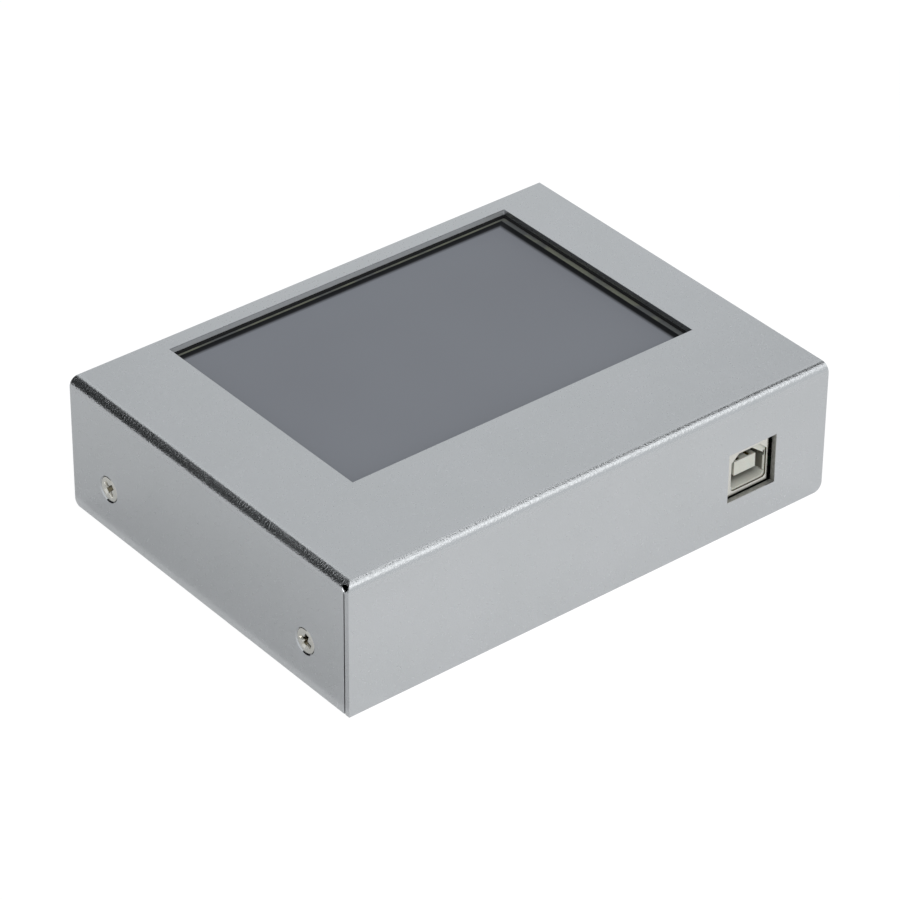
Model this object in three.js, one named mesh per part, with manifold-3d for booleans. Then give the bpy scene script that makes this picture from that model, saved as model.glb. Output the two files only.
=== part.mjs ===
import * as THREE from 'three';
import { mergeVertices } from 'three/addons/utils/BufferGeometryUtils.js';
import Module from 'manifold-3d';

// A small bench vector network analyzer in a folded aluminium case.
// Sizes are in millimetres. X runs along the side with the data socket, Y towards the two
// test jacks, and Z up. The origin is the middle of the case's underside.

// The folded case: a cover of top, socket side and left side, and a tray of the other three
const caseWidth = 119;
const caseDepth = 88.2;
const caseHeight = 29.7;
const sheetThickness = 1.2;
const bendRadius = 2;
const frontFlangeCorner = 2;
const sideFlangeCorner = 1.5;
const seamGap = 0.3;
const fitGap = 0.2;
const reliefRadius = 0.72;
const reliefLength = 5.5;
const reliefDrop = 0.8;
const lipHeight = 14.5;
const cutOverrun = 1.5;

// The screen, the window that shows it, and the display stack below the window
const screenWidth = 83.52;
const screenDepth = 55.68;
const screenRightInset = 2.53;
const screenFarInset = 1.6;
const screenNearInset = 1.12;
const screenLeftReach = 0.95;
const windowRightMargin = 12.65;
const windowFarMargin = 3.77;
const gasketThickness = 0.95;
const gasketWidth = 1.5;
const touchThickness = 1.1;
const touchTapeThickness = 0.3;
const panelThickness = 2.7;
const frameFloor = 0.3;
const frameWall = 0.4;
const frameFit = 0.1;
const panelLeftMargin = 7.25;
const panelRightMargin = 2.65;
const panelDepthMargin = 1.7;
const displayBoardThickness = 1.6;

// Countersunk side screws, M3, with pressed nuts on the left and tapped blocks on the right
const screwRadius = 1.5;
const screwLength = 6;
const screwHeadRadius = 2.75;
const screwHeadSink = 0.1;
const screwHeadGap = 0.1;
const screwTipChamfer = 0.4;
const threadGap = 0.12;
const screwHoleGap = 0.25;
const crossLength = 3.3;
const crossWidth = 0.62;
const crossDepth = 1.1;
const crossFloorShare = 0.5;
const sideScrewInset = 11.9;
const leftScrewHeight = 9.8;
const rightScrewDrop = 5.7;
const nutRadius = 3.15;
const nutThickness = 1.5;
const blockWidth = 8;
const blockLength = 9;
const blockHeight = 9;

// The main board on its standoffs
const standoffHeight = 4.6;
const standoffRadius = 2.75;
const boardThickness = 1.6;
const boardClearance = 0.6;
const boardFrontClearance = 1.3;
const boardHoleInset = 4.6;
const panHeadRadius = 2.75;
const panHeadHeight = 1.9;
const panRimShare = 0.6;
const panCrownShare = 0.7;
const boardScrewLength = 5;

// Spacers and screws that carry the display board
const spacerRadius = 2.25;
const spacerSideInset = 5;
const spacerEndInset = 16;
const spacerScrewRadius = 1.25;
const spacerScrewLength = 6;
const spacerHeadRadius = 2.2;
const spacerHeadHeight = 1.6;

// The square data socket
const socketWidth = 11.7;
const socketHeight = 11.2;
const socketLength = 16;
const socketRecess = 1.1;
const socketCentreInset = 19.5;
const socketSheet = 0.35;
const socketFit = 0.08;
const socketLip = 0.6;
const socketLift = 0.7;
const socketCutLeft = 0.2;
const socketCutRight = 0.5;
const socketCutTop = 0.3;
const socketCutSill = 0.2;
const mouthWidth = 8.3;
const mouthHeight = 7.8;
const mouthRise = 0.2;
const mouthShift = 0.3;
const mouthChamfer = 1.8;
const mouthFlare = 0.4;
const mouthDepth = 9;
const insulatorFoot = 2;
const tongueWidth = 5.6;
const tongueHeight = 3.2;
const tongueDrop = 0.15;
const tongueRecess = 0.8;

// The two coaxial test jacks
const jackBarrelRadius = 3.175;
const jackReach = 10;
const jackFlangeWidth = 9.5;
const jackFlangeHeight = 8;
const jackFlangeThickness = 1.7;
const jackBoreRadius = 2.3;
const jackFaceRecess = 1.9;
const jackLegSide = 1;
const jackLegLength = 4.4;
const jackLegInset = 0.6;
const jackHoleGap = 0.12;
const jackInsulatorGap = 0.08;
const contactRadius = 0.635;
const contactBoreRadius = 0.47;
const contactBoreDepth = 3;
const contactPinLength = 3;
const washerThickness = 0.5;
const washerRadius = 4.6;
const jackNutFlats = 8;
const jackNutThickness = 2.2;
const jackOneInset = 33.5;
const jackSpacing = 32;

// The power slide switch and the status lamp beside the jacks
const switchSpacing = 10;
const switchWidth = 11;
const switchDepth = 5.6;
const switchHeight = 5.4;
const switchWallGap = 0.2;
const sliderWidth = 3.2;
const sliderHeight = 2.2;
const sliderReach = 2.6;
const sliderRoot = 3.5;
const sliderGap = 0.3;
const sliderTravel = 3;
const sliderSlotGap = 0.4;
const gripWidth = 0.4;
const gripDepth = 0.3;
const gripShares = [-0.27, 0, 0.27];
const lampRadius = 1.5;
const lampLength = 6;
const lampReach = 0.8;
const lampBodySide = 4;
const lampSpacing = 11;
const lampGap = 0.15;

// Parts on the boards
const shieldMargin = 9;
const shieldDepth = 26;
const shieldHeight = 3.5;
const shieldSheet = 0.4;
const shieldLegGap = 0.6;
const processorSide = 12;
const processorHeight = 1.2;
const batteryWidth = 60;
const batteryDepth = 40;
const batteryHeight = 6.5;
const batteryCornerRadius = 2;
const batteryLeftInset = 8;
const batteryNearInset = 13;
const leadRadius = 1.1;
const leadPlugWidth = 7;
const leadPlugDepth = 5;
const leadPlugHeight = 4.5;
const leadInset = 8;
const leadBendRadius = 3;
const leadRun = 9;
const ribbonWidth = 22;
const ribbonThickness = 0.3;
const ribbonConnectorWidth = 25;
const ribbonConnectorDepth = 4;
const ribbonConnectorHeight = 2;
const ribbonInset = 14;
const ribbonNearInset = 3;
const ribbonRun = 5;
const ribbonBulge = 2.5;

// Places worked out from the sizes
const halfWidth = caseWidth / 2;
const halfDepth = caseDepth / 2;
const innerBend = bendRadius - sheetThickness;
const coverUnderside = caseHeight - sheetThickness;
const farWallInside = halfDepth - sheetThickness;
const lipOutside = -halfWidth + sheetThickness + fitGap;
const lipInside = lipOutside + sheetThickness;
const windowRight = halfWidth - windowRightMargin;
const windowLeft = windowRight - screenRightInset - screenWidth + screenLeftReach;
const windowFar = halfDepth - windowFarMargin;
const windowNear = windowFar - screenFarInset - screenDepth - screenNearInset;
const panelLeft = windowLeft - panelLeftMargin;
const panelRight = windowRight + panelRightMargin;
const panelNear = windowNear - panelDepthMargin;
const panelFar = windowFar + panelDepthMargin;
const touchTop = coverUnderside - gasketThickness;
const touchBottom = touchTop - touchThickness;
const screenTop = touchBottom - touchTapeThickness;
const frameBottom = screenTop - panelThickness - frameFloor;
const displayBoardBottom = frameBottom - displayBoardThickness;
const boardBottom = sheetThickness + standoffHeight;
const boardTop = boardBottom + boardThickness;
const boardLeft = lipInside + nutThickness + boardClearance;
const boardRight = halfWidth - sheetThickness - boardClearance;
const boardFront = -halfDepth + sheetThickness + boardFrontClearance;
const jackFlangeBack = farWallInside - jackFlangeThickness;
const boardFar = jackFlangeBack - fitGap;
const socketCentre = halfWidth - socketCentreInset;
const socketFront = -halfDepth + socketRecess;
const jackHeight = boardTop + contactRadius;
const jackCentres = [halfWidth - jackOneInset, halfWidth - jackOneInset - jackSpacing];
const lampCentre = jackCentres[1] - lampSpacing;
const switchCentre = lampCentre - switchSpacing;
const sliderAxisHeight = boardTop + switchHeight / 2;
const leftScrewPlaces = [
  -halfDepth + sheetThickness + seamGap + sideScrewInset,
  halfDepth - sideScrewInset,
];
const rightScrewPlaces = [
  -halfDepth + sheetThickness + fitGap + sideScrewInset,
  farWallInside - seamGap - sideScrewInset,
];
const rightScrewHeight = caseHeight - rightScrewDrop;

// Facets on a full circle, and on one round corner
const barrelSides = 32;
const screwSides = 24;
const cornerSteps = 10;

const wasm = await Module();
wasm.setup();

// A closed geometry as a solid that can be joined and cut
function solid(geometry) {
  const bare = geometry.clone();
  bare.deleteAttribute('normal');
  bare.deleteAttribute('uv');
  const merged = mergeVertices(bare);
  const corners = merged.index.array;
  const kept = [];
  for (let i = 0; i < corners.length; i += 3) {
    const [a, b, c] = [corners[i], corners[i + 1], corners[i + 2]];
    if (a !== b && b !== c && c !== a) kept.push(a, b, c);
  }
  return new wasm.Manifold(new wasm.Mesh({
    numProp: 3,
    vertProperties: new Float32Array(merged.attributes.position.array),
    triVerts: new Uint32Array(kept),
  }));
}

// A rectangle whose corners, from low-low round to low-high, have the given radii
function cornered(u0, u1, v0, v1, [a, b, c, d] = [0, 0, 0, 0]) {
  const shape = new THREE.Shape();
  shape.moveTo(u0 + a, v0);
  shape.lineTo(u1 - b, v0);
  if (b > 0) shape.absarc(u1 - b, v0 + b, b, -Math.PI / 2, 0, false);
  shape.lineTo(u1, v1 - c);
  if (c > 0) shape.absarc(u1 - c, v1 - c, c, 0, Math.PI / 2, false);
  shape.lineTo(u0 + d, v1);
  if (d > 0) shape.absarc(u0 + d, v1 - d, d, Math.PI / 2, Math.PI, false);
  shape.lineTo(u0, v0 + a);
  if (a > 0) shape.absarc(u0 + a, v0 + a, a, Math.PI, 1.5 * Math.PI, false);
  return shape;
}

function extruded(shape, length) {
  const options = { depth: length, bevelEnabled: false, curveSegments: cornerSteps };
  return new THREE.ExtrudeGeometry(shape, options);
}

const axisX = new THREE.Vector3(1, 0, 0);
const axisY = new THREE.Vector3(0, 1, 0);
const axisZ = new THREE.Vector3(0, 0, 1);

// A shape drawn in Y and Z, run along X
function alongX(shape, x0, x1) {
  const geometry = extruded(shape, x1 - x0);
  geometry.applyMatrix4(new THREE.Matrix4().makeBasis(axisY, axisZ, axisX));
  return solid(geometry.translate(x0, 0, 0));
}

// A shape drawn in X and Z, run along Y
function alongY(shape, y0, y1) {
  const geometry = extruded(shape, y1 - y0);
  geometry.applyMatrix4(new THREE.Matrix4().makeBasis(axisX, axisZ, axisY.clone().negate()));
  return solid(geometry.translate(0, y1, 0));
}

// A shape drawn in X and Y, run along Z
function alongZ(shape, z0, z1) {
  return solid(extruded(shape, z1 - z0).translate(0, 0, z0));
}

function block(x0, x1, y0, y1, z0, z1) {
  const geometry = new THREE.BoxGeometry(x1 - x0, y1 - y0, z1 - z0);
  return solid(geometry.translate((x0 + x1) / 2, (y0 + y1) / 2, (z0 + z1) / 2));
}

// A profile of [radius, distance] pairs turned about +Y
function turned(profile, sides) {
  const points = profile.map(([radius, along]) => new THREE.Vector2(radius, along));
  return solid(new THREE.LatheGeometry(points, sides));
}

// Turns what points along +Y so that it points along another axis
const toX = (piece) => piece.rotate([0, 0, -90]);
const toMinusX = (piece) => piece.rotate([0, 0, 90]);
const toZ = (piece) => piece.rotate([90, 0, 0]);
const toMinusZ = (piece) => piece.rotate([-90, 0, 0]);

function tube(outer, inner, start, end, sides) {
  return turned([[inner, start], [outer, start], [outer, end], [inner, end], [inner, start]], sides);
}

function rod(radius, start, end, sides) {
  return turned([[0, start], [radius, start], [radius, end], [0, end]], sides);
}

const looks = {
  anodised: { color: 0xa9adb0, roughness: 0.45, metalness: 0.85 },
  nickel: { color: 0xc4c3b8, roughness: 0.25, metalness: 1 },
  steel: { color: 0x9a9c9e, roughness: 0.4, metalness: 1 },
  gold: { color: 0xd2aa5c, roughness: 0.25, metalness: 1 },
  brass: { color: 0xb9a05f, roughness: 0.35, metalness: 1 },
  ptfe: { color: 0xeeece4, roughness: 0.5, metalness: 0 },
  whitePlastic: { color: 0xd9dad0, roughness: 0.45, metalness: 0 },
  blackPlastic: { color: 0x1b1c1e, roughness: 0.5, metalness: 0 },
  foam: { color: 0x141618, roughness: 0.9, metalness: 0 },
  glass: { color: 0x757a7f, roughness: 0.3, metalness: 0 },
  screen: { color: 0x2a2d31, roughness: 0.3, metalness: 0 },
  board: { color: 0x1d4a34, roughness: 0.5, metalness: 0 },
  rubber: { color: 0x1a1a1b, roughness: 0.85, metalness: 0 },
  foil: { color: 0x8f959c, roughness: 0.35, metalness: 0.6 },
  lamp: { color: 0xcfe3cf, roughness: 0.3, metalness: 0 },
  ribbon: { color: 0xb9763a, roughness: 0.4, metalness: 0 },
  lead: { color: 0x8f1d1a, roughness: 0.5, metalness: 0 },
};

const analyzer = new THREE.Group();

function add(name, piece, look, place = [0, 0, 0], group = analyzer) {
  const { vertProperties, triVerts } = piece.getMesh();
  const geometry = new THREE.BufferGeometry();
  geometry.setAttribute('position', new THREE.BufferAttribute(new Float32Array(vertProperties), 3));
  geometry.setIndex(new THREE.BufferAttribute(new Uint32Array(triVerts), 1));
  geometry.computeVertexNormals();
  const material = new THREE.MeshStandardMaterial({ ...looks[look], flatShading: true });
  const mesh = new THREE.Mesh(geometry, material);
  mesh.name = name;
  mesh.position.set(...place);
  group.add(mesh);
}

// A relief hole drilled where a seam ends in a bend, along the corner's diagonal
function cornerRelief(x, y, z, towards) {
  const out = new THREE.Vector3(...towards).normalize();
  const hole = new THREE.CylinderGeometry(reliefRadius, reliefRadius, reliefLength, screwSides);
  hole.applyQuaternion(new THREE.Quaternion().setFromUnitVectors(axisY, out));
  return solid(hole.translate(x, y, z));
}

// The countersunk hole for a side screw, from the sheet's outside in along +Y
function countersink() {
  const outerRadius = screwHeadRadius + screwHeadSink + screwHeadGap;
  const holeRadius = outerRadius - sheetThickness;
  return turned([
    [0, -cutOverrun],
    [outerRadius, -cutOverrun],
    [outerRadius, 0],
    [holeRadius, sheetThickness],
    [holeRadius, sheetThickness + cutOverrun],
    [0, sheetThickness + cutOverrun],
  ], screwSides);
}

function makeCover() {
  const far = halfDepth + cutOverrun;
  const right = halfWidth + cutOverrun;
  const insideFront = -halfDepth + sheetThickness;
  const insideLeft = -halfWidth + sheetThickness;
  const sideOuter = [0, sideFlangeCorner, 0, bendRadius];
  const frontOuter = [0, frontFlangeCorner, 0, bendRadius];
  const inner = [0, 0, 0, innerBend];
  const sideShape = cornered(-halfDepth, halfDepth, 0, caseHeight, sideOuter);
  const frontShape = cornered(-halfWidth, halfWidth, 0, caseHeight, frontOuter);
  const sideHollow = cornered(insideFront, far, -cutOverrun, coverUnderside, inner);
  const frontHollow = cornered(insideLeft, right, -cutOverrun, coverUnderside, inner);
  const outside = alongX(sideShape, -halfWidth, halfWidth)
    .intersect(alongY(frontShape, -halfDepth, halfDepth));
  const inside = alongX(sideHollow, insideLeft, right).intersect(alongY(frontHollow, insideFront, far));
  const windowHole = block(
    windowLeft,
    windowRight,
    windowNear,
    windowFar,
    coverUnderside - cutOverrun,
    caseHeight + cutOverrun,
  );
  const socketHole = block(
    socketCentre - socketWidth / 2 - socketCutLeft,
    socketCentre + socketWidth / 2 + socketCutRight,
    -halfDepth - cutOverrun,
    insideFront + cutOverrun,
    boardTop + socketCutSill,
    boardTop + socketHeight + socketCutTop,
  );
  const seam = block(
    -halfWidth - cutOverrun,
    insideLeft + seamGap,
    insideFront,
    insideFront + seamGap,
    -cutOverrun,
    caseHeight - bendRadius,
  );
  let cover = outside.subtract(inside).subtract(windowHole).subtract(socketHole).subtract(seam)
    .subtract(cornerRelief(-halfWidth, insideFront, caseHeight - reliefDrop, [-1, -1, 1]));
  for (const y of leftScrewPlaces) {
    cover = cover.subtract(toX(countersink()).translate([-halfWidth, y, leftScrewHeight]));
  }
  return cover;
}
add('top_cover', makeCover(), 'anodised');

function makeTray() {
  const front = -halfDepth + sheetThickness + fitGap;
  const top = coverUnderside - fitGap;
  const above = top + cutOverrun;
  const rightInside = halfWidth - sheetThickness;
  const clearBend = innerBend + fitGap;
  const sideOuter = [0, bendRadius, 0, clearBend];
  const farOuter = [bendRadius, bendRadius, 0, clearBend];
  const sideInner = [0, innerBend, 0, 0];
  const farInner = [innerBend, innerBend, 0, 0];
  const cutFront = front - cutOverrun;
  const sideShape = cornered(front, halfDepth, 0, top, sideOuter);
  const farShape = cornered(lipOutside, halfWidth, 0, top, farOuter);
  const sideHollow = cornered(cutFront, farWallInside, sheetThickness, above, sideInner);
  const farHollow = cornered(lipInside, rightInside, sheetThickness, above, farInner);
  const outside = alongX(sideShape, lipOutside, halfWidth).intersect(alongY(farShape, front, halfDepth));
  const inside = alongX(sideHollow, lipInside, rightInside)
    .intersect(alongY(farHollow, cutFront, farWallInside));
  const lipEnd = farWallInside - seamGap;
  const aboveLip = block(lipOutside - cutOverrun, lipInside + fitGap, cutFront, lipEnd, lipHeight, above);
  const leftSeam = block(
    lipOutside - cutOverrun,
    lipInside + seamGap,
    lipEnd,
    farWallInside,
    bendRadius,
    above,
  );
  const rightSeam = block(
    rightInside - seamGap,
    halfWidth + cutOverrun,
    lipEnd,
    farWallInside,
    bendRadius,
    above,
  );
  let tray = outside.subtract(inside).subtract(aboveLip).subtract(leftSeam).subtract(rightSeam)
    .subtract(cornerRelief(halfWidth, farWallInside, reliefDrop, [1, 1, -1]))
    .subtract(cornerRelief(lipOutside, farWallInside, reliefDrop, [-1, 1, -1]));
  const through = sheetThickness + cutOverrun;
  for (const y of leftScrewPlaces) {
    const hole = toX(rod(screwRadius + screwHoleGap, -cutOverrun, through, screwSides));
    tray = tray.subtract(hole.translate([lipOutside, y, leftScrewHeight]));
  }
  for (const y of rightScrewPlaces) {
    tray = tray.subtract(toMinusX(countersink()).translate([halfWidth, y, rightScrewHeight]));
  }
  for (const x of jackCentres) {
    const hole = rod(jackBarrelRadius + jackHoleGap, -cutOverrun, through, barrelSides);
    tray = tray.subtract(hole.translate([x, farWallInside, jackHeight]));
  }
  const lampHole = rod(lampRadius + lampGap, -cutOverrun, through, screwSides);
  const slotWidth = sliderWidth + sliderTravel + 2 * sliderSlotGap;
  const slotHeight = sliderHeight + 2 * sliderSlotGap;
  const slot = block(
    switchCentre - slotWidth / 2,
    switchCentre + slotWidth / 2,
    farWallInside - cutOverrun,
    halfDepth + cutOverrun,
    sliderAxisHeight - slotHeight / 2,
    sliderAxisHeight + slotHeight / 2,
  );
  return tray.subtract(lampHole.translate([lampCentre, farWallInside, sliderAxisHeight])).subtract(slot);
}
add('base_tray', makeTray(), 'anodised');

// A cross recess as two crossed slots that narrow towards the bottom, cut from +Y down
function crossRecess(turn) {
  const half = crossLength / 2;
  const slot = new THREE.Shape([
    new THREE.Vector2(-half, cutOverrun),
    new THREE.Vector2(-half, 0),
    new THREE.Vector2(-half * crossFloorShare, -crossDepth),
    new THREE.Vector2(half * crossFloorShare, -crossDepth),
    new THREE.Vector2(half, 0),
    new THREE.Vector2(half, cutOverrun),
  ]);
  const geometry = extruded(slot, crossWidth).translate(0, 0, -crossWidth / 2);
  const one = solid(geometry);
  return one.add(one.rotate([0, 90, 0])).rotate([0, turn, 0]);
}

// A countersunk screw whose head's top lies at 0 and whose tip points along +Y
function sideScrew(turn) {
  const coneEnd = screwHeadSink + screwHeadRadius - screwRadius;
  const tip = screwHeadSink + screwLength;
  const body = turned([
    [0, screwHeadSink],
    [screwHeadRadius, screwHeadSink],
    [screwRadius, coneEnd],
    [screwRadius, tip - screwTipChamfer],
    [screwRadius - screwTipChamfer, tip],
    [0, tip],
  ], screwSides);
  return body.subtract(crossRecess(turn).rotate([180, 0, 0]).translate([0, screwHeadSink, 0]));
}

// The four case screws, the pressed nuts behind the lip, and the tapped blocks under the cover
const crossTurns = [20, 48];
const blockTop = coverUnderside - rightScrewHeight;
const blockFace = halfWidth - sheetThickness - fitGap;
['front', 'rear'].forEach((end, i) => {
  const leftPlace = [-halfWidth, leftScrewPlaces[i], leftScrewHeight];
  const rightPlace = [halfWidth, rightScrewPlaces[i], rightScrewHeight];
  add(`left_screw_${end}`, toX(sideScrew(crossTurns[i])), 'nickel', leftPlace);
  add(`right_screw_${end}`, toMinusX(sideScrew(-crossTurns[i])), 'nickel', rightPlace);
  const nut = tube(nutRadius, screwRadius + threadGap, 0, nutThickness, screwSides);
  add(`lip_nut_${end}`, toX(nut), 'steel', [lipInside, leftScrewPlaces[i], leftScrewHeight]);
  const tapped = block(
    -blockWidth,
    0,
    -blockLength / 2,
    blockLength / 2,
    blockTop - blockHeight,
    blockTop,
  ).subtract(toMinusX(rod(screwRadius + threadGap, -cutOverrun, blockWidth + cutOverrun, screwSides)));
  add(`cover_block_${end}`, tapped, 'anodised', [blockFace, rightScrewPlaces[i], rightScrewHeight]);
});

// A pan head screw whose head sits above 0 and whose shank runs down
function panScrew(radius, length, headRadius, headHeight) {
  return toZ(turned([
    [0, -length],
    [radius, -length],
    [radius, 0],
    [headRadius, 0],
    [headRadius, headHeight * panRimShare],
    [headRadius * panCrownShare, headHeight],
    [0, headHeight],
  ], screwSides)).subtract(toZ(crossRecess(0)).translate([0, 0, headHeight]));
}

// The main board, its standoffs in the tray and its screws
const boardHoles = [];
const boardSides = [['left', boardLeft + boardHoleInset], ['right', boardRight - boardHoleInset]];
const boardEnds = [['front', boardFront + boardHoleInset], ['rear', boardFar - boardHoleInset]];
for (const [side, x] of boardSides) {
  for (const [end, y] of boardEnds) {
    boardHoles.push([`${side}_${end}`, x, y]);
  }
}
const spacerPlaces = [];
const spacerSides = [['left', panelLeft + spacerSideInset], ['right', panelRight - spacerSideInset]];
const spacerEnds = [['front', panelNear + spacerEndInset], ['rear', panelFar - spacerEndInset]];
for (const [side, x] of spacerSides) {
  for (const [end, y] of spacerEnds) {
    spacerPlaces.push([`${side}_${end}`, x, y]);
  }
}

let mainBoard = block(boardLeft, boardRight, boardFront, boardFar, boardBottom, boardTop);
const throughBoard = boardThickness + cutOverrun;
const boardHole = toZ(rod(screwRadius + screwHoleGap, -cutOverrun, throughBoard, screwSides));
const spacerHole = toZ(rod(spacerScrewRadius + screwHoleGap, -cutOverrun, throughBoard, screwSides));
for (const [, x, y] of boardHoles) {
  mainBoard = mainBoard.subtract(boardHole.translate([x, y, boardBottom]));
}
for (const [, x, y] of spacerPlaces) {
  mainBoard = mainBoard.subtract(spacerHole.translate([x, y, boardBottom]));
}
add('main_board', mainBoard, 'board');

for (const [place, x, y] of boardHoles) {
  const standoff = toZ(tube(standoffRadius, screwRadius + threadGap, 0, standoffHeight, screwSides));
  const screw = panScrew(screwRadius, boardScrewLength, panHeadRadius, panHeadHeight);
  add(`board_standoff_${place}`, standoff, 'steel', [x, y, sheetThickness]);
  add(`board_screw_${place}`, screw, 'nickel', [x, y, boardTop]);
}
for (const [place, x, y] of spacerPlaces) {
  const spacerHeight = displayBoardBottom - boardTop;
  const spacer = toZ(tube(spacerRadius, spacerScrewRadius + threadGap, 0, spacerHeight, screwSides));
  const screw = panScrew(spacerScrewRadius, spacerScrewLength, spacerHeadRadius, spacerHeadHeight);
  add(`display_spacer_${place}`, spacer, 'brass', [x, y, boardTop]);
  add(`spacer_screw_${place}`, screw.rotate([180, 0, 0]), 'nickel', [x, y, boardBottom]);
}

// The display: foam gasket, touch panel, tape, screen in its steel frame, and its board
const panelOutline = cornered(panelLeft, panelRight, panelNear, panelFar);
const gasketOutline = cornered(
  windowLeft - gasketWidth,
  windowRight + gasketWidth,
  windowNear - gasketWidth,
  windowFar + gasketWidth,
);
const throughGasket = block(
  windowLeft,
  windowRight,
  windowNear,
  windowFar,
  touchTop - cutOverrun,
  coverUnderside + cutOverrun,
);
const gasket = alongZ(gasketOutline, touchTop, coverUnderside).subtract(throughGasket);
add('window_gasket', gasket, 'foam');
add('touch_panel', alongZ(panelOutline, touchBottom, touchTop), 'glass');
const screenRight = windowRight - screenRightInset;
const screenFar = windowFar - screenFarInset;
add('touch_tape', alongZ(panelOutline, screenTop, touchBottom).subtract(block(
  screenRight - screenWidth,
  screenRight,
  screenFar - screenDepth,
  screenFar,
  screenTop - cutOverrun,
  touchBottom + cutOverrun,
)), 'foam');
const frameGap = frameWall + frameFit;
add('lcd_panel', block(
  panelLeft + frameGap,
  panelRight - frameGap,
  panelNear + frameGap,
  panelFar - frameGap,
  screenTop - panelThickness,
  screenTop,
), 'screen');
add('lcd_frame', alongZ(panelOutline, frameBottom, screenTop).subtract(block(
  panelLeft + frameWall,
  panelRight - frameWall,
  panelNear + frameWall,
  panelFar - frameWall,
  frameBottom + frameFloor,
  screenTop + cutOverrun,
)), 'steel');
add('display_board', alongZ(panelOutline, displayBoardBottom, frameBottom), 'board');

// The data socket: a sheet-metal shell round a moulded insulator with its tongue
function mouthShape(width, height, chamfer, bottom) {
  const half = width / 2;
  return new THREE.Shape([
    new THREE.Vector2(mouthShift - half, bottom),
    new THREE.Vector2(mouthShift + half, bottom),
    new THREE.Vector2(mouthShift + half, bottom + height - chamfer),
    new THREE.Vector2(mouthShift + half - chamfer, bottom + height),
    new THREE.Vector2(mouthShift - half + chamfer, bottom + height),
    new THREE.Vector2(mouthShift - half, bottom + height - chamfer),
  ]);
}
const mouthBottom = (socketHeight - mouthHeight) / 2 + mouthRise;
const shellMouth = mouthShape(
  mouthWidth + 2 * mouthFlare,
  mouthHeight + 2 * mouthFlare,
  mouthChamfer,
  mouthBottom - mouthFlare,
);
const shellCavity = block(
  -socketWidth / 2 + socketSheet,
  socketWidth / 2 - socketSheet,
  socketSheet,
  socketLength + cutOverrun,
  -cutOverrun,
  socketHeight - socketSheet,
);
const underLip = block(
  -socketWidth / 2 - cutOverrun,
  socketWidth / 2 + cutOverrun,
  -cutOverrun,
  socketLip,
  -cutOverrun,
  socketLift,
);
const socketPlace = [socketCentre, socketFront, boardTop];
add('usb_shell', block(-socketWidth / 2, socketWidth / 2, 0, socketLength, 0, socketHeight)
  .subtract(shellCavity)
  .subtract(underLip)
  .subtract(alongY(shellMouth, -cutOverrun, socketSheet + cutOverrun)), 'nickel', socketPlace);

const insulatorFront = socketSheet + socketFit;
const mouthEnd = insulatorFront + mouthDepth;
const tongueBottom = mouthBottom + (mouthHeight - tongueHeight) / 2 - tongueDrop;
const insulatorMouth = mouthShape(mouthWidth, mouthHeight, mouthChamfer, mouthBottom);
add('usb_insulator', block(
  -socketWidth / 2 + socketSheet + socketFit,
  socketWidth / 2 - socketSheet - socketFit,
  insulatorFront,
  socketLength,
  0,
  socketHeight - socketSheet - socketFit,
).subtract(block(
  -socketWidth / 2,
  socketWidth / 2,
  0,
  insulatorFront + insulatorFoot,
  -cutOverrun,
  socketLift,
)).subtract(alongY(insulatorMouth, insulatorFront - cutOverrun, mouthEnd)).add(block(
  mouthShift - tongueWidth / 2,
  mouthShift + tongueWidth / 2,
  insulatorFront + tongueRecess,
  mouthEnd + cutOverrun,
  tongueBottom,
  tongueBottom + tongueHeight,
)), 'whitePlastic', socketPlace);

// The test jacks. Each one's parts stand on its axis, with 0 at the far wall's outside
function jackBody() {
  const flangeFront = -sheetThickness;
  const flangeBack = flangeFront - jackFlangeThickness;
  const legEnd = flangeBack - jackLegLength;
  let body = block(
    -jackFlangeWidth / 2,
    jackFlangeWidth / 2,
    flangeBack,
    flangeFront,
    -jackFlangeHeight / 2,
    jackFlangeHeight / 2,
  ).add(rod(jackBarrelRadius, flangeBack, jackReach, barrelSides));
  const legX = jackFlangeWidth / 2 - jackLegInset;
  const onBoard = boardTop - jackHeight;
  const underBoard = boardBottom - jackHeight;
  for (const side of [-1, 1]) {
    const [x0, x1] = [side * legX, side * (legX - jackLegSide)].sort((a, b) => a - b);
    body = body.add(block(x0, x1, legEnd, flangeFront, onBoard, onBoard + jackLegSide))
      .add(block(x0, x1, legEnd, flangeFront, underBoard - jackLegSide, underBoard));
  }
  return body.subtract(rod(jackBoreRadius, flangeBack - cutOverrun, jackReach + cutOverrun, barrelSides));
}

function hexNut(flats, bore, thickness) {
  const corner = flats / Math.sqrt(3);
  const hex = new THREE.Shape([0, 1, 2, 3, 4, 5].map((k) => new THREE.Vector2(
    corner * Math.cos((k * Math.PI) / 3),
    corner * Math.sin((k * Math.PI) / 3),
  )));
  return alongY(hex, 0, thickness).subtract(rod(bore, -cutOverrun, thickness + cutOverrun, barrelSides));
}

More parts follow.
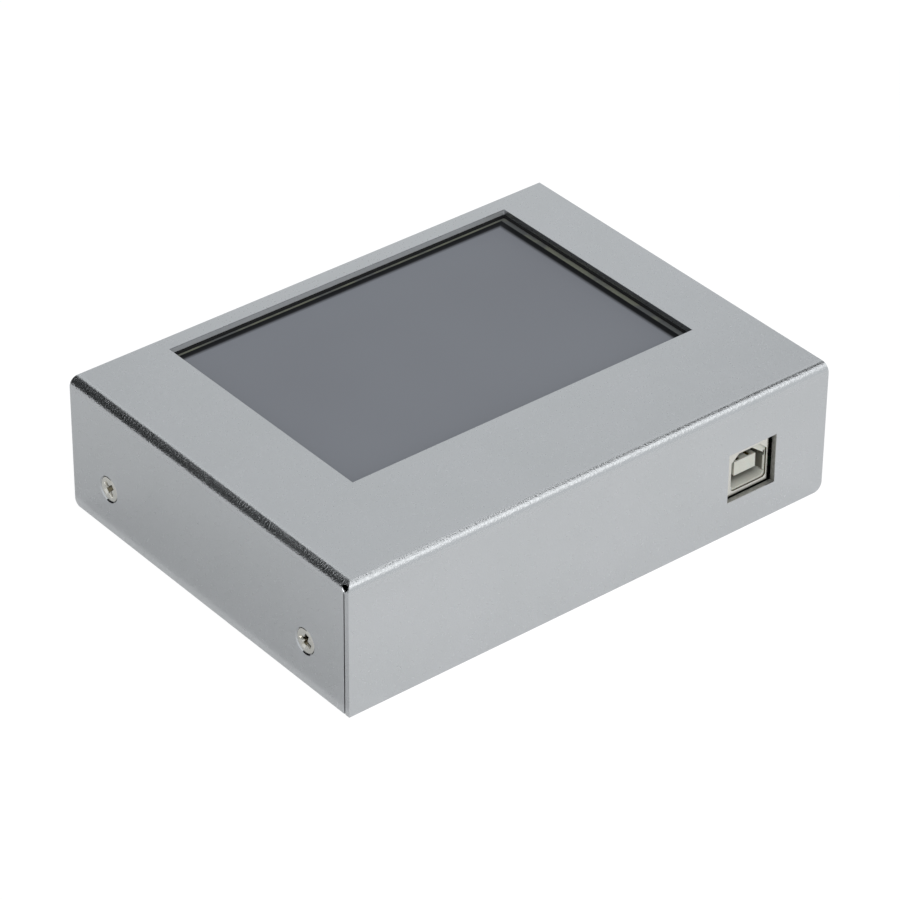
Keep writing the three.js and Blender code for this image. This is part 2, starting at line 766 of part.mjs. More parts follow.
jackCentres.forEach((x, i) => {
  const jack = new THREE.Group();
  jack.position.set(x, halfDepth, jackHeight);
  analyzer.add(jack);
  const name = `jack_${i + 1}`;
  const rear = -sheetThickness - jackFlangeThickness;
  const face = jackReach - jackFaceRecess;
  const origin = [0, 0, 0];
  add(`${name}_body`, jackBody(), 'gold', origin, jack);
  add(`${name}_insulator`, tube(
    jackBoreRadius - jackInsulatorGap,
    contactRadius + jackInsulatorGap,
    rear,
    face,
    barrelSides,
  ), 'ptfe', origin, jack);
  const pin = rod(contactRadius, rear - contactPinLength, face, screwSides);
  const pinBore = rod(contactBoreRadius, face - contactBoreDepth, face + cutOverrun, screwSides);
  add(`${name}_contact`, pin.subtract(pinBore), 'gold', origin, jack);
  const bore = jackBarrelRadius + jackHoleGap;
  add(`${name}_washer`, tube(washerRadius, bore, 0, washerThickness, barrelSides), 'gold', origin, jack);
  add(`${name}_nut`, hexNut(jackNutFlats, bore, jackNutThickness), 'gold', [0, washerThickness, 0], jack);
});

// The power switch: a body on the board and a slider that comes out through the far wall
const switchFront = farWallInside - switchWallGap;
const sliderStart = switchFront - sliderRoot;
const cavityWidth = sliderWidth + sliderTravel + 2 * sliderGap;
add('switch_body', block(
  -switchWidth / 2,
  switchWidth / 2,
  switchFront - switchDepth,
  switchFront,
  boardTop,
  boardTop + switchHeight,
).subtract(block(
  -cavityWidth / 2,
  cavityWidth / 2,
  sliderStart - sliderGap,
  switchFront + cutOverrun,
  sliderAxisHeight - sliderHeight / 2 - sliderGap,
  sliderAxisHeight + sliderHeight / 2 + sliderGap,
)), 'blackPlastic', [switchCentre, 0, 0]);

let slider = block(
  -sliderWidth / 2,
  sliderWidth / 2,
  sliderStart,
  halfDepth + sliderReach,
  -sliderHeight / 2,
  sliderHeight / 2,
);
for (const share of gripShares) {
  const middle = share * sliderWidth;
  slider = slider.subtract(block(
    middle - gripWidth / 2,
    middle + gripWidth / 2,
    halfDepth + sliderReach - gripDepth,
    halfDepth + sliderReach + cutOverrun,
    -sliderHeight,
    sliderHeight,
  ));
}
add('switch_slider', slider, 'blackPlastic', [switchCentre + sliderTravel / 2, 0, sliderAxisHeight]);

// The status lamp: a lamp body that stands on the board, with its domed lens in the far wall
const domeSteps = [0, 1, 2, 3, 4];
const domeCentre = lampReach - lampRadius;
const lampDome = domeSteps.map((k) => {
  const angle = (k * Math.PI) / (2 * (domeSteps.length - 1));
  return [lampRadius * Math.cos(angle), domeCentre + lampRadius * Math.sin(angle)];
});
lampDome[domeSteps.length - 1][0] = 0;
const lampRear = lampReach - lampLength;
const lampBody = block(
  -lampBodySide / 2,
  lampBodySide / 2,
  lampRear - lampBodySide / 2,
  lampRear + lampBodySide / 2,
  boardTop - sliderAxisHeight,
  lampRadius,
);
const lampLens = turned([[0, lampRear], [lampRadius, lampRear], ...lampDome], screwSides);
add('status_lamp', lampLens.add(lampBody), 'lamp', [lampCentre, halfDepth, sliderAxisHeight]);

// The shield over the receivers, open towards the board
const shieldLeft = jackCentres[1] - shieldMargin;
const shieldRight = jackCentres[0] + shieldMargin;
const shieldFar = jackFlangeBack - jackLegLength - shieldLegGap;
const shieldNear = shieldFar - shieldDepth;
const shieldTop = boardTop + shieldHeight;
const shieldHollow = block(
  shieldLeft + shieldSheet,
  shieldRight - shieldSheet,
  shieldNear + shieldSheet,
  shieldFar - shieldSheet,
  boardTop - cutOverrun,
  shieldTop - shieldSheet,
);
const shield = block(shieldLeft, shieldRight, shieldNear, shieldFar, boardTop, shieldTop);
add('receiver_shield', shield.subtract(shieldHollow), 'steel');

// The battery hangs from the display board, and its lead runs down to a plug on the main board
const batteryLeft = panelLeft + batteryLeftInset;
const batteryNear = panelNear + batteryNearInset;
add('battery_pack', alongX(cornered(
  batteryNear,
  batteryNear + batteryDepth,
  displayBoardBottom - batteryHeight,
  displayBoardBottom,
  Array(4).fill(batteryCornerRadius),
), batteryLeft, batteryLeft + batteryWidth), 'foil');

const leadX = batteryLeft + batteryWidth - leadInset;
const leadStart = batteryNear;
const leadHeight = displayBoardBottom - batteryHeight / 2;
const plugTop = boardTop + leadPlugHeight;
const plugY = leadStart - leadRun;
const leadPath = new THREE.CurvePath();
const bendStart = new THREE.Vector3(0, plugY + leadBendRadius, leadHeight);
const bendEnd = new THREE.Vector3(0, plugY, leadHeight - leadBendRadius);
leadPath.add(new THREE.LineCurve3(new THREE.Vector3(0, leadStart, leadHeight), bendStart));
const bendCorner = new THREE.Vector3(0, plugY, leadHeight);
leadPath.add(new THREE.QuadraticBezierCurve3(bendStart, bendCorner, bendEnd));
leadPath.add(new THREE.LineCurve3(bendEnd, new THREE.Vector3(0, plugY, plugTop)));
const leadSection = new THREE.Shape();
leadSection.absarc(0, 0, leadRadius, 0, 2 * Math.PI);
add('battery_lead', solid(new THREE.ExtrudeGeometry(leadSection, {
  steps: 16,
  curveSegments: 5,
  extrudePath: leadPath,
  bevelEnabled: false,
})), 'lead', [leadX, 0, 0]);
add('battery_plug', block(
  -leadPlugWidth / 2,
  leadPlugWidth / 2,
  -leadPlugDepth / 2,
  leadPlugDepth / 2,
  0,
  leadPlugHeight,
), 'whitePlastic', [leadX, plugY, boardTop]);

// The flat ribbon between the two boards, and its connectors
const ribbonLeft = panelLeft + ribbonInset;
const upperY = panelNear + ribbonNearInset;
const upperBottom = displayBoardBottom - ribbonConnectorHeight;
const lowerY = upperY - ribbonRun;
const lowerTop = boardTop + ribbonConnectorHeight;
function ribbonConnector(name, y, z) {
  add(name, block(
    -ribbonConnectorWidth / 2,
    ribbonConnectorWidth / 2,
    -ribbonConnectorDepth / 2,
    ribbonConnectorDepth / 2,
    0,
    ribbonConnectorHeight,
  ), 'whitePlastic', [ribbonLeft + ribbonConnectorWidth / 2, y, z]);
}
ribbonConnector('ribbon_socket_upper', upperY, upperBottom);
ribbonConnector('ribbon_socket_lower', lowerY, boardTop);
const ribbonShape = new THREE.Shape();
ribbonShape.moveTo(lowerY, lowerTop);
ribbonShape.bezierCurveTo(
  lowerY,
  lowerTop + ribbonBulge,
  upperY,
  upperBottom - ribbonBulge,
  upperY,
  upperBottom,
);
ribbonShape.lineTo(upperY + ribbonThickness, upperBottom);
ribbonShape.bezierCurveTo(
  upperY + ribbonThickness,
  upperBottom - ribbonBulge,
  lowerY + ribbonThickness,
  lowerTop + ribbonBulge,
  lowerY + ribbonThickness,
  lowerTop,
);
add('display_ribbon', alongX(ribbonShape, 0, ribbonWidth), 'ribbon', [
  ribbonLeft + (ribbonConnectorWidth - ribbonWidth) / 2,
  0,
  0,
]);

// The processor, between the ribbon's socket and the battery's plug
const processorLeft = (ribbonLeft + ribbonConnectorWidth + leadX - leadPlugWidth / 2 - processorSide) / 2;
const processorNear = (boardFront + lowerY - ribbonConnectorDepth / 2 - processorSide) / 2;
const processor = block(0, processorSide, 0, processorSide, 0, processorHeight);
add('processor', processor, 'blackPlastic', [processorLeft, processorNear, boardTop]);

export default analyzer;
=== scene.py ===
import math

import bmesh
import bpy
from mathutils import Matrix, Vector


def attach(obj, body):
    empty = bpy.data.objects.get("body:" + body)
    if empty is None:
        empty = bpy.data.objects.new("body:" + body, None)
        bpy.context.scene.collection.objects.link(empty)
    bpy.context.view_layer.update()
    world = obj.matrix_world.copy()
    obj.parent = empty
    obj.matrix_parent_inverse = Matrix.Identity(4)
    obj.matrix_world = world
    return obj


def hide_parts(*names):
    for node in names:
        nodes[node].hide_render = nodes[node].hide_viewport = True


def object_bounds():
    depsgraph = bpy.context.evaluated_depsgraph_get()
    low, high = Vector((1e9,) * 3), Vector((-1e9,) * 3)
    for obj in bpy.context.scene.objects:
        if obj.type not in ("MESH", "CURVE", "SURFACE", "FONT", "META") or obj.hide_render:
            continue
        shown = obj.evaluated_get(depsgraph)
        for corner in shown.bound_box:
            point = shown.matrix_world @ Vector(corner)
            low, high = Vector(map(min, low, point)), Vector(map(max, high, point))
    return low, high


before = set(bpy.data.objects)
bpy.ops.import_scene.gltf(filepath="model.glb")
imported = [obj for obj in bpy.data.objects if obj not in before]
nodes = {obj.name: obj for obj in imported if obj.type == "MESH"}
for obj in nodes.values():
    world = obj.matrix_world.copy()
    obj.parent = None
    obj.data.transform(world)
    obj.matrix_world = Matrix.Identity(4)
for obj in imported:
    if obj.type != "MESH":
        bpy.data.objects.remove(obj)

cad_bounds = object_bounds()
mm = 0.001

# The camera stands in front and to the left of the case, looks down on it, and leans by
# half a degree. Its place and lens come from a fit to the photographed case's edges.
camera_place = Vector((-454.13, -556.11, 502.03)) * mm
camera_azimuth, camera_height, camera_roll = -39.238, 34.361, 0.474
camera_data = bpy.data.cameras.new("camera")
camera_data.lens = 176.546
camera_data.sensor_width = 36
camera_data.clip_end = 50
camera = bpy.data.objects.new("camera", camera_data)
bpy.context.scene.collection.objects.link(camera)
camera.matrix_world = (
    Matrix.Translation(camera_place)
    @ Matrix.Rotation(math.radians(camera_azimuth), 4, "Z")
    @ Matrix.Rotation(math.radians(90 - camera_height), 4, "X")
    @ Matrix.Rotation(math.radians(camera_roll), 4, "Z")
)
bpy.context.scene.camera = camera
bpy.context.scene.view_settings.view_transform = "Standard"


# The studio: a white table under pale surroundings, three soft lamps, dark cards behind and on
# the right, which the rounded bends show as dark lines, and a grey card on the table beside the
# left side, a painted shadow of the table that only the case's reflections see.
def linear(code):
    """A colour written in sRGB, such as "A9ADB0", as linear red, green, blue and alpha."""
    channels = [int(code[i:i + 2], 16) / 255 for i in (0, 2, 4)]
    bent = [c / 12.92 if c <= 0.04045 else ((c + 0.055) / 1.055) ** 2.4 for c in channels]
    return [*bent, 1]


def add(tree, kind, inputs=None, **settings):
    """One shader node with its settings. An input is a value, or the socket that it is linked to."""
    made = tree.nodes.new(kind)
    for name, value in settings.items():
        setattr(made, name, value)
    for name, value in (inputs or {}).items():
        if isinstance(value, bpy.types.NodeSocket):
            tree.links.new(value, made.inputs[name])
        else:
            made.inputs[name].default_value = value
    return made


def material_of(name, **surface):
    """A new material with these values on its shader: it, its tree, its shader and the object's place."""
    made = bpy.data.materials.new(name)
    made.use_nodes = True
    shader = made.node_tree.nodes["Principled BSDF"]
    for socket, value in surface.items():
        shader.inputs[socket.replace("_", " ")].default_value = value
    return made, made.node_tree, shader, add(made.node_tree, "ShaderNodeTexCoord").outputs["Object"]


world = bpy.data.worlds.new("pale surroundings")
world.use_nodes = True
world.node_tree.nodes["Background"].inputs["Color"].default_value = linear("EAEDEF")
bpy.context.scene.world = world

# To the camera the table is mostly white light, to reflections a little, and else plain paint,
# so that it keeps the case's shadow.
white_in_reflections, whiter_for_camera, table_glow = 0.2, 0.65, 1.08
table_paint = bpy.data.materials.new("white table")
table_paint.use_nodes = True
tree = table_paint.node_tree
tree.nodes.clear()
rays = add(tree, "ShaderNodeLightPath").outputs
mirrored = add(tree, "ShaderNodeMath", {0: rays["Is Camera Ray"], 1: rays["Is Glossy Ray"]},
               operation="MAXIMUM")
seen = add(tree, "ShaderNodeMath", {0: mirrored.outputs[0], 1: rays["Is Transmission Ray"]},
           operation="MAXIMUM")
least = add(tree, "ShaderNodeMath", {0: seen.outputs[0], 1: white_in_reflections}, operation="MULTIPLY")
share = add(tree, "ShaderNodeMath", {0: rays["Is Camera Ray"], 1: whiter_for_camera, 2: least.outputs[0]},
            operation="MULTIPLY_ADD")
paint = add(tree, "ShaderNodeBsdfDiffuse", {"Color": linear("F4F4F4")})
white = add(tree, "ShaderNodeEmission", {"Color": linear("FFFFFF"), "Strength": table_glow})
surface = add(tree, "ShaderNodeMixShader", {0: share.outputs[0], 1: paint.outputs[0], 2: white.outputs[0]})
add(tree, "ShaderNodeOutputMaterial", {"Surface": surface.outputs[0]})


def flat_card(name, width, depth, place, facing, material):
    """A flat rectangle of the studio, in metres, which faces along facing."""
    mesh = bpy.data.meshes.new(name)
    x, y = width / 2, depth / 2
    mesh.from_pydata([(-x, -y, 0), (x, -y, 0), (x, y, 0), (-x, y, 0)], [], [(0, 1, 2, 3)])
    mesh.materials.append(material)
    card = bpy.data.objects.new(name, mesh)
    bpy.context.scene.collection.objects.link(card)
    aim = Vector(facing).to_track_quat("Z", "Y").to_matrix().to_4x4()
    card.matrix_world = Matrix.Translation(place) @ aim
    return card


flat_card("white_table", 12, 12, (0, 0, -0.05 * mm), (0, 0, 1), table_paint)

# The cards are matt, and show in the case's reflections but not to the camera.
card_black = material_of("black studio card", Base_Color=linear("101112"), Roughness=0.9)[0]
table_shadow_paint = material_of("table shadow card", Base_Color=linear("E7E7E7"), Roughness=0.9)[0]
card_behind = flat_card("dark_card_behind", 2.6, 1.2, (-0.85, 1.2, 0.6), (0, -1, 0), card_black)
card_above = flat_card("dark_card_above", 2.9, 0.8, (-0.73, 1.2, 1.6), (0, -1, 0), card_black)
card_right = flat_card("dark_card_right", 0.34, 0.433, (0.56, 0.17, 0.635), (0, -0.478, -0.878), card_black)
# Painted shadow: the grey card lies on the table beside the left side, where the case's shadow falls, and
# only reflections see it.
table_shadow_card = flat_card("table_shadow_card_left", 0.3, 0.34, (-0.2105, 0.05, 0.5 * mm), (0, 0, 1), table_shadow_paint)
table_shadow_card.visible_diffuse = False
table_shadow_card.visible_transmission = False
for card in (card_behind, card_above, card_right, table_shadow_card):
    card.visible_camera = False
    card.visible_shadow = False


def soft_lamp(name, place, width, depth, watts):
    """A rectangular soft lamp, in metres, that looks at the case."""
    data = bpy.data.lights.new(name, "AREA")
    data.shape = "RECTANGLE"
    data.size, data.size_y, data.energy = width, depth, watts
    made = bpy.data.objects.new(name, data)
    bpy.context.scene.collection.objects.link(made)
    made.location = place
    made.rotation_euler = Vector(place).to_track_quat("Z", "Y").to_euler()


soft_lamp("overhead lamp", (0.66, 0.0, 1.2), 1.3, 0.3, 0.9)
soft_lamp("front right lamp", (0.6, -0.76, 1.04), 0.8, 0.5, 1.0)
soft_lamp("lamp beside the camera", (-0.55, -1.0, 1.15), 0.8, 0.8, 6)


# The base tray: one sheet of 1.2 mm aluminium, laser cut and folded into bottom, far wall,
# right wall and left lip, then blasted with fine beads and clear anodised.
case_edge_break = 0.12 * mm


def give(material, *names):
    """The named CAD nodes get this material."""
    for name in names:
        nodes[name].data.materials.clear()
        nodes[name].data.materials.append(material)


def soften(piece, width, angle=30, segments=2):
    """The piece's sharp edges get a small rounding, and its flat faces stay flat."""
    bevel = piece.modifiers.new("edge break", "BEVEL")
    bevel.width = width
    bevel.segments = segments
    bevel.limit_method = "ANGLE"
    bevel.angle_limit = math.radians(angle)
    flat = piece.modifiers.new("flat faces stay flat", "WEIGHTED_NORMAL")
    flat.weight = 100
    for polygon in piece.data.polygons:
        polygon.use_smooth = True


def break_edges(width, *names, angle=35, segments=2):
    """The named CAD nodes are joined up and softened."""
    for name in names:
        weld = nodes[name].modifiers.new("weld", "WELD")
        weld.merge_threshold = 0.001 * mm
        soften(nodes[name], width, angle, segments)


def in_box(tree, place, low, high):
    """1 where place lies in the box from low to high, in mm, and 0 elsewhere."""
    middle = [(a + b) / 2 * mm for a, b in zip(low, high)]
    half = [(b - a) / 2 * mm for a, b in zip(low, high)]
    away = add(tree, "ShaderNodeVectorMath", {0: place, 1: middle}, operation="SUBTRACT")
    shares = add(tree, "ShaderNodeVectorMath", {0: away.outputs[0], 1: half}, operation="DIVIDE")
    size = add(tree, "ShaderNodeVectorMath", {0: shares.outputs[0]}, operation="ABSOLUTE")
    axes = add(tree, "ShaderNodeSeparateXYZ", {0: size.outputs[0]}).outputs
    flat = add(tree, "ShaderNodeMath", {0: axes["X"], 1: axes["Y"]}, operation="MAXIMUM")
    most = add(tree, "ShaderNodeMath", {0: flat.outputs[0], 1: axes["Z"]}, operation="MAXIMUM")
    return add(tree, "ShaderNodeMath", {0: most.outputs[0], 1: 1}, operation="LESS_THAN").outputs[0]


# Blasted, then clear anodised: a cool, even satin grey, with a sparkle where it turns. The bead
# marks are a few hundredths of a millimetre wide and are drawn coarser, or they wouldn't show.
bead_mark, bead_depth, cloud = 0.4 * mm, 0.01 * mm, 14 * mm
case_metal, tree, shader, place = material_of("bead blasted, clear anodised aluminium", Metallic=1)
beads = add(tree, "ShaderNodeTexNoise", {"Vector": place, "Scale": 1 / bead_mark, "Detail": 0})
clouds = add(tree, "ShaderNodeTexNoise", {"Vector": place, "Scale": 1 / cloud, "Detail": 2})
tone = add(tree, "ShaderNodeMix", {0: clouds.outputs["Fac"], 6: linear("C1C3C4"), 7: linear("C6C7C9")},
           data_type="RGBA")
satin = add(tree, "ShaderNodeMapRange", {"Value": beads.outputs["Fac"], "To Min": 0.25, "To Max": 0.35})

# Round a bend the skin of the sheet is stretched: it shines more, between coarser marks. The
# stretch sets in at the first of these distances from the outside and is full at the second.
side_stretch, top_stretch = (2.5 * mm, 1.3 * mm), (2.7 * mm, 1.5 * mm)
stretched_mark, peel_depth, stretched_gloss = 0.32 * mm, 0.065 * mm, 0.78
case_left, case_front, case_top = cad_bounds[0][0], cad_bounds[0][1], cad_bounds[1][2]
axes = add(tree, "ShaderNodeSeparateXYZ", {0: place}).outputs
past_left = add(tree, "ShaderNodeMapRange", {"Value": axes["X"], "From Min": case_left + side_stretch[0],
                                             "From Max": case_left + side_stretch[1]})
past_front = add(tree, "ShaderNodeMapRange", {"Value": axes["Y"], "From Min": case_front + side_stretch[0],
                                              "From Max": case_front + side_stretch[1]})
near_top = add(tree, "ShaderNodeMapRange", {"Value": axes["Z"], "From Min": case_top - top_stretch[0],
                                            "From Max": case_top - top_stretch[1]})
outer = add(tree, "ShaderNodeMath", {0: past_left.outputs[0], 1: past_front.outputs[0]}, operation="MAXIMUM")
stretched = add(tree, "ShaderNodeMath", {0: outer.outputs[0], 1: near_top.outputs[0]}, operation="MULTIPLY")
grains = add(tree, "ShaderNodeTexNoise", {"Vector": place, "Scale": 1 / stretched_mark, "Detail": 1})
opened = add(tree, "ShaderNodeMath", {0: grains.outputs["Fac"], 1: stretched.outputs[0]},
             operation="MULTIPLY")
dimples = add(tree, "ShaderNodeBump", {"Height": beads.outputs["Fac"], "Strength": 1, "Distance": bead_depth})
peel = add(tree, "ShaderNodeBump", {"Height": opened.outputs[0], "Normal": dimples.outputs["Normal"],
                                    "Strength": 1, "Distance": peel_depth})

# The faces that the laser cut are duller: streaked round the socket, and pale at the window's far
# edge. Each is picked out by a box round it, in mm.
socket_cut_box = (33.8, -43.93, 7.45), (46.5, -42.7, 19.05)
window_cut_box = (-38.4, 40.2, 28.3), (47, 40.5, 29.55)
streak, cut_dullness = 0.7 * mm, 0.6
socket_cut = in_box(tree, place, *socket_cut_box)
window_cut = in_box(tree, place, *window_cut_box)
streaks = add(tree, "ShaderNodeTexNoise", {"Vector": place, "Scale": 1 / streak, "Detail": 2})
scorched = add(tree, "ShaderNodeMix", {0: streaks.outputs["Fac"], 6: linear("868681"), 7: linear("C8C7C2")},
               data_type="RGBA")
cut_tone = add(tree, "ShaderNodeMix", {0: socket_cut, 6: tone.outputs[2], 7: scorched.outputs[2]},
               data_type="RGBA")
pale_cut = add(tree, "ShaderNodeMix", {0: window_cut, 6: cut_tone.outputs[2], 7: linear("E4E5E6")},
               data_type="RGBA")
cut = add(tree, "ShaderNodeMath", {0: socket_cut, 1: window_cut}, operation="MAXIMUM")
pulled = add(tree, "ShaderNodeMapRange", {"Value": stretched.outputs[0], "To Min": 1,
                                          "To Max": stretched_gloss})
smoother = add(tree, "ShaderNodeMath", {0: satin.outputs["Result"], 1: pulled.outputs["Result"]},
               operation="MULTIPLY")
dulled = add(tree, "ShaderNodeMix", {0: cut.outputs[0], 2: smoother.outputs[0], 3: cut_dullness})

# The countersinks, cut last, are bright. Each seat is given by its side of the case, and its Y
# and Z in mm.
screw_seats = [(-1, -30.7, 9.8), (-1, 32.2, 9.8), (1, -30.8, 24), (1, 30.7, 24)]
seat_inside, seat_outside, seat_reach, seat_roughness = 57.5, 59.47, 3.1, 0.13
shine = dulled.outputs[0]
for side, y, z in screw_seats:
    low_x, high_x = sorted((side * seat_inside, side * seat_outside))
    low, high = (low_x, y - seat_reach, z - seat_reach), (high_x, y + seat_reach, z + seat_reach)
    seat = in_box(tree, place, low, high)
    shine = add(tree, "ShaderNodeMix", {0: seat, 2: shine, 3: seat_roughness}).outputs[0]
tree.links.new(pale_cut.outputs[2], shader.inputs["Base Color"])
tree.links.new(shine, shader.inputs["Roughness"])
tree.links.new(peel.outputs["Normal"], shader.inputs["Normal"])

give(case_metal, "base_tray")
break_edges(case_edge_break, "base_tray")


# The standoffs pressed into the tray and the nuts pressed behind its left lip: turned steel
# with a thin zinc plate, which gives a cool, slightly cloudy shine.
zinc_bloom = 1.6 * mm
zinc, tree, shader, place = material_of("zinc plated steel", Metallic=1, Base_Color=linear("B7B9BB"))
cloudy = add(tree, "ShaderNodeTexVoronoi", {"Vector": place, "Scale": 1 / zinc_bloom})
shine = add(tree, "ShaderNodeMapRange", {"Value": cloudy.outputs["Distance"], "To Min": 0.26, "To Max": 0.4})
tree.links.new(shine.outputs["Result"], shader.inputs["Roughness"])

corners = ("left_front", "left_rear", "right_front", "right_rear")
standoffs = ["board_standoff_" + corner for corner in corners]
give(zinc, *standoffs, "lip_nut_front", "lip_nut_rear")
break_edges(0.1 * mm, *standoffs, "lip_nut_front", "lip_nut_rear")


# The main board: glass and epoxy laminate under green solder resist. Copper tracks show through
# as paler green lines, and along its front edge a painted shade turns it nearly black.
track_pitch, track_height, tracks_abreast = 1.27 * mm, 0.035 * mm, 7
edge_shade_start, edge_shade_full = -38.9 * mm, -39.2 * mm
resist, tree, shader, place = material_of("green solder resist", Roughness=0.32, Coat_Weight=0.3)
lanes = add(tree, "ShaderNodeTexVoronoi", {"Vector": place, "Scale": 1 / (2 * track_pitch)},
            distance="MANHATTAN", feature="F2")
tracks = add(tree, "ShaderNodeMath", {0: lanes.outputs["Distance"], 1: tracks_abreast}, operation="MULTIPLY")
waves = add(tree, "ShaderNodeMath", {0: tracks.outputs[0]}, operation="SINE")
copper = add(tree, "ShaderNodeMapRange", {"Value": waves.outputs[0], "From Min": 0.55, "From Max": 0.7})
coated = add(tree, "ShaderNodeMix", {0: copper.outputs["Result"], 6: linear("0E4A2E"), 7: linear("1E6B42")},
             data_type="RGBA")
along = add(tree, "ShaderNodeSeparateXYZ", {0: place}).outputs["Y"]
# Painted shade: towards the front edge the resist turns nearly black.
darkened = add(tree, "ShaderNodeMapRange", {"Value": along, "From Min": edge_shade_start, "From Max": edge_shade_full})
shade = add(tree, "ShaderNodeMix", {0: darkened.outputs["Result"], 6: coated.outputs[2], 7: linear("070C0A")},
            data_type="RGBA")
relief = add(tree, "ShaderNodeBump", {"Height": copper.outputs["Result"], "Strength": 0.5,
                                      "Distance": track_height})
tree.links.new(shade.outputs[2], shader.inputs["Base Color"])
tree.links.new(relief.outputs["Normal"], shader.inputs["Normal"])
give(resist, "main_board", "display_board")


# The processor, the receiver's shield and the ribbon sockets are soldered to the main board.
# Moulded black epoxy is dull and faintly grained, and the shield is drawn from tinned steel.
mould_grain, pit_depth = 0.12 * mm, 0.02 * mm
black_plastic, tree, shader, place = material_of("moulded black plastic", Base_Color=linear("1C1D1F"))
grain = add(tree, "ShaderNodeTexNoise", {"Vector": place, "Scale": 1 / mould_grain, "Detail": 1})
dull = add(tree, "ShaderNodeMapRange", {"Value": grain.outputs["Fac"], "To Min": 0.4, "To Max": 0.6})
pits = add(tree, "ShaderNodeBump", {"Height": grain.outputs["Fac"], "Strength": 0.3, "Distance": pit_depth})
tree.links.new(dull.outputs["Result"], shader.inputs["Roughness"])
tree.links.new(pits.outputs["Normal"], shader.inputs["Normal"])
give(black_plastic, "processor")
break_edges(0.08 * mm, "processor")

give(zinc, "receiver_shield")
break_edges(0.25 * mm, "receiver_shield", segments=3)

# Glass filled nylon: a warm off white with the faint mottle of its fibres, and a low sheen. Deep in
# the USB socket a painted shade darkens it, and the mouth's right side and its roof get a darker
# painted shade. Those places are picked out by boxes, in mm.
fibre_mottle, glow_depth = 0.5 * mm, 0.4 * mm
mouth_box = (35.8, -42.6, 8.6), (45, -33, 17.7)
tongue_box = (37.4, -41.9, 11.3), (43.2, -40.7, 14.8)
side_box = (43.4, -42.3, 10.3), (45, -33, 17.7)
roof_box = (35.8, -42.3, 15.1), (45, -33, 17.7)
mouth_shade_start, mouth_shade_full = -41.9 * mm, -40 * mm
pale_plastic, tree, shader, place = material_of("pale glass filled nylon", Subsurface_Weight=0.08,
                                                Subsurface_Scale=glow_depth)
fibres = add(tree, "ShaderNodeTexNoise", {"Vector": place, "Scale": 1 / fibre_mottle, "Detail": 3})
cream = add(tree, "ShaderNodeMix", {0: fibres.outputs["Fac"], 6: linear("C6C6BC"), 7: linear("D4D3C9")},
            data_type="RGBA")
sheen = add(tree, "ShaderNodeMapRange", {"Value": fibres.outputs["Fac"], "To Min": 0.35, "To Max": 0.5})
inward = add(tree, "ShaderNodeSeparateXYZ", {0: place}).outputs["Y"]
depth = add(tree, "ShaderNodeMapRange", {"Value": inward, "From Min": mouth_shade_start, "From Max": mouth_shade_full})
in_mouth = in_box(tree, place, *mouth_box)
in_tongue = in_box(tree, place, *tongue_box)
beside_tongue = add(tree, "ShaderNodeMath", {0: in_mouth, 1: in_tongue}, operation="SUBTRACT", use_clamp=True)
# Painted shade: beside the tongue the mouth darkens the deeper it goes.
deep_shade = add(tree, "ShaderNodeMath", {0: beside_tongue.outputs[0], 1: depth.outputs["Result"]},
            operation="MULTIPLY")
shaded_side = in_box(tree, place, *side_box)
shaded_roof = in_box(tree, place, *roof_box)
side_and_roof_shade = add(tree, "ShaderNodeMath", {0: shaded_side, 1: shaded_roof}, operation="MAXIMUM")
shaded = add(tree, "ShaderNodeMix", {0: deep_shade.outputs[0], 6: cream.outputs[2], 7: linear("9B9C95")},
             data_type="RGBA")
# A darker painted shade on the mouth's right side and roof.
with_side_shade = add(tree, "ShaderNodeMix", {0: side_and_roof_shade.outputs[0], 6: shaded.outputs[2], 7: linear("6B6A60")},
             data_type="RGBA")
tree.links.new(with_side_shade.outputs[2], shader.inputs["Base Color"])
tree.links.new(sheen.outputs["Result"], shader.inputs["Roughness"])
give(pale_plastic, "ribbon_socket_lower", "ribbon_socket_upper")
break_edges(0.1 * mm, "ribbon_socket_lower", "ribbon_socket_upper")


# The battery: a flat cell in laminated foil, with two thin wires in red sleeving that end in
# a small plug on the main board. Foil is silvery with soft creases.
crease, crease_depth = 6 * mm, 0.3 * mm
foil, tree, shader, place = material_of("laminated battery foil", Metallic=0.9)
creases = add(tree, "ShaderNodeTexNoise", {"Vector": place, "Scale": 1 / crease, "Detail": 4,
                                           "Distortion": 0.8})
silver = add(tree, "ShaderNodeMix", {0: creases.outputs["Fac"], 6: linear("9BA2AA"), 7: linear("B4BAC0")},
             data_type="RGBA")
gloss = add(tree, "ShaderNodeMapRange", {"Value": creases.outputs["Fac"], "To Min": 0.22, "To Max": 0.42})
crumple = add(tree, "ShaderNodeBump", {"Height": creases.outputs["Fac"], "Strength": 0.5,
                                       "Distance": crease_depth})
tree.links.new(silver.outputs[2], shader.inputs["Base Color"])
tree.links.new(gloss.outputs["Result"], shader.inputs["Roughness"])
tree.links.new(crumple.outputs["Normal"], shader.inputs["Normal"])
give(foil, "battery_pack")
break_edges(0.8 * mm, "battery_pack", segments=4)

# Vinyl sleeving: an even, half glossy red, a little darker where it was handled.
handled_patch = 1.5 * mm
red_sleeve, tree, shader, place = material_of("red vinyl sleeving", Roughness=0.45)
handled = add(tree, "ShaderNodeTexNoise", {"Vector": place, "Scale": 1 / handled_patch, "Detail": 2})
red = add(tree, "ShaderNodeMix", {0: handled.outputs["Fac"], 6: linear("8E1512"), 7: linear("A8221C")},
          data_type="RGBA")
tree.links.new(red.outputs[2], shader.inputs["Base Color"])
give(red_sleeve, "battery_lead")
break_edges(0.02 * mm, "battery_lead", angle=60)
give(pale_plastic, "battery_plug")
break_edges(0.15 * mm, "battery_plug")


# The four board screws, and the four brass spacers under the display board with their screws.
# The screws are headed from steel wire and plated with nickel, and the spacers are turned.
board_screws = ["board_screw_" + corner for corner in corners]
spacer_screws = ["spacer_screw_" + corner for corner in corners]
spacers = ["display_spacer_" + corner for corner in corners]
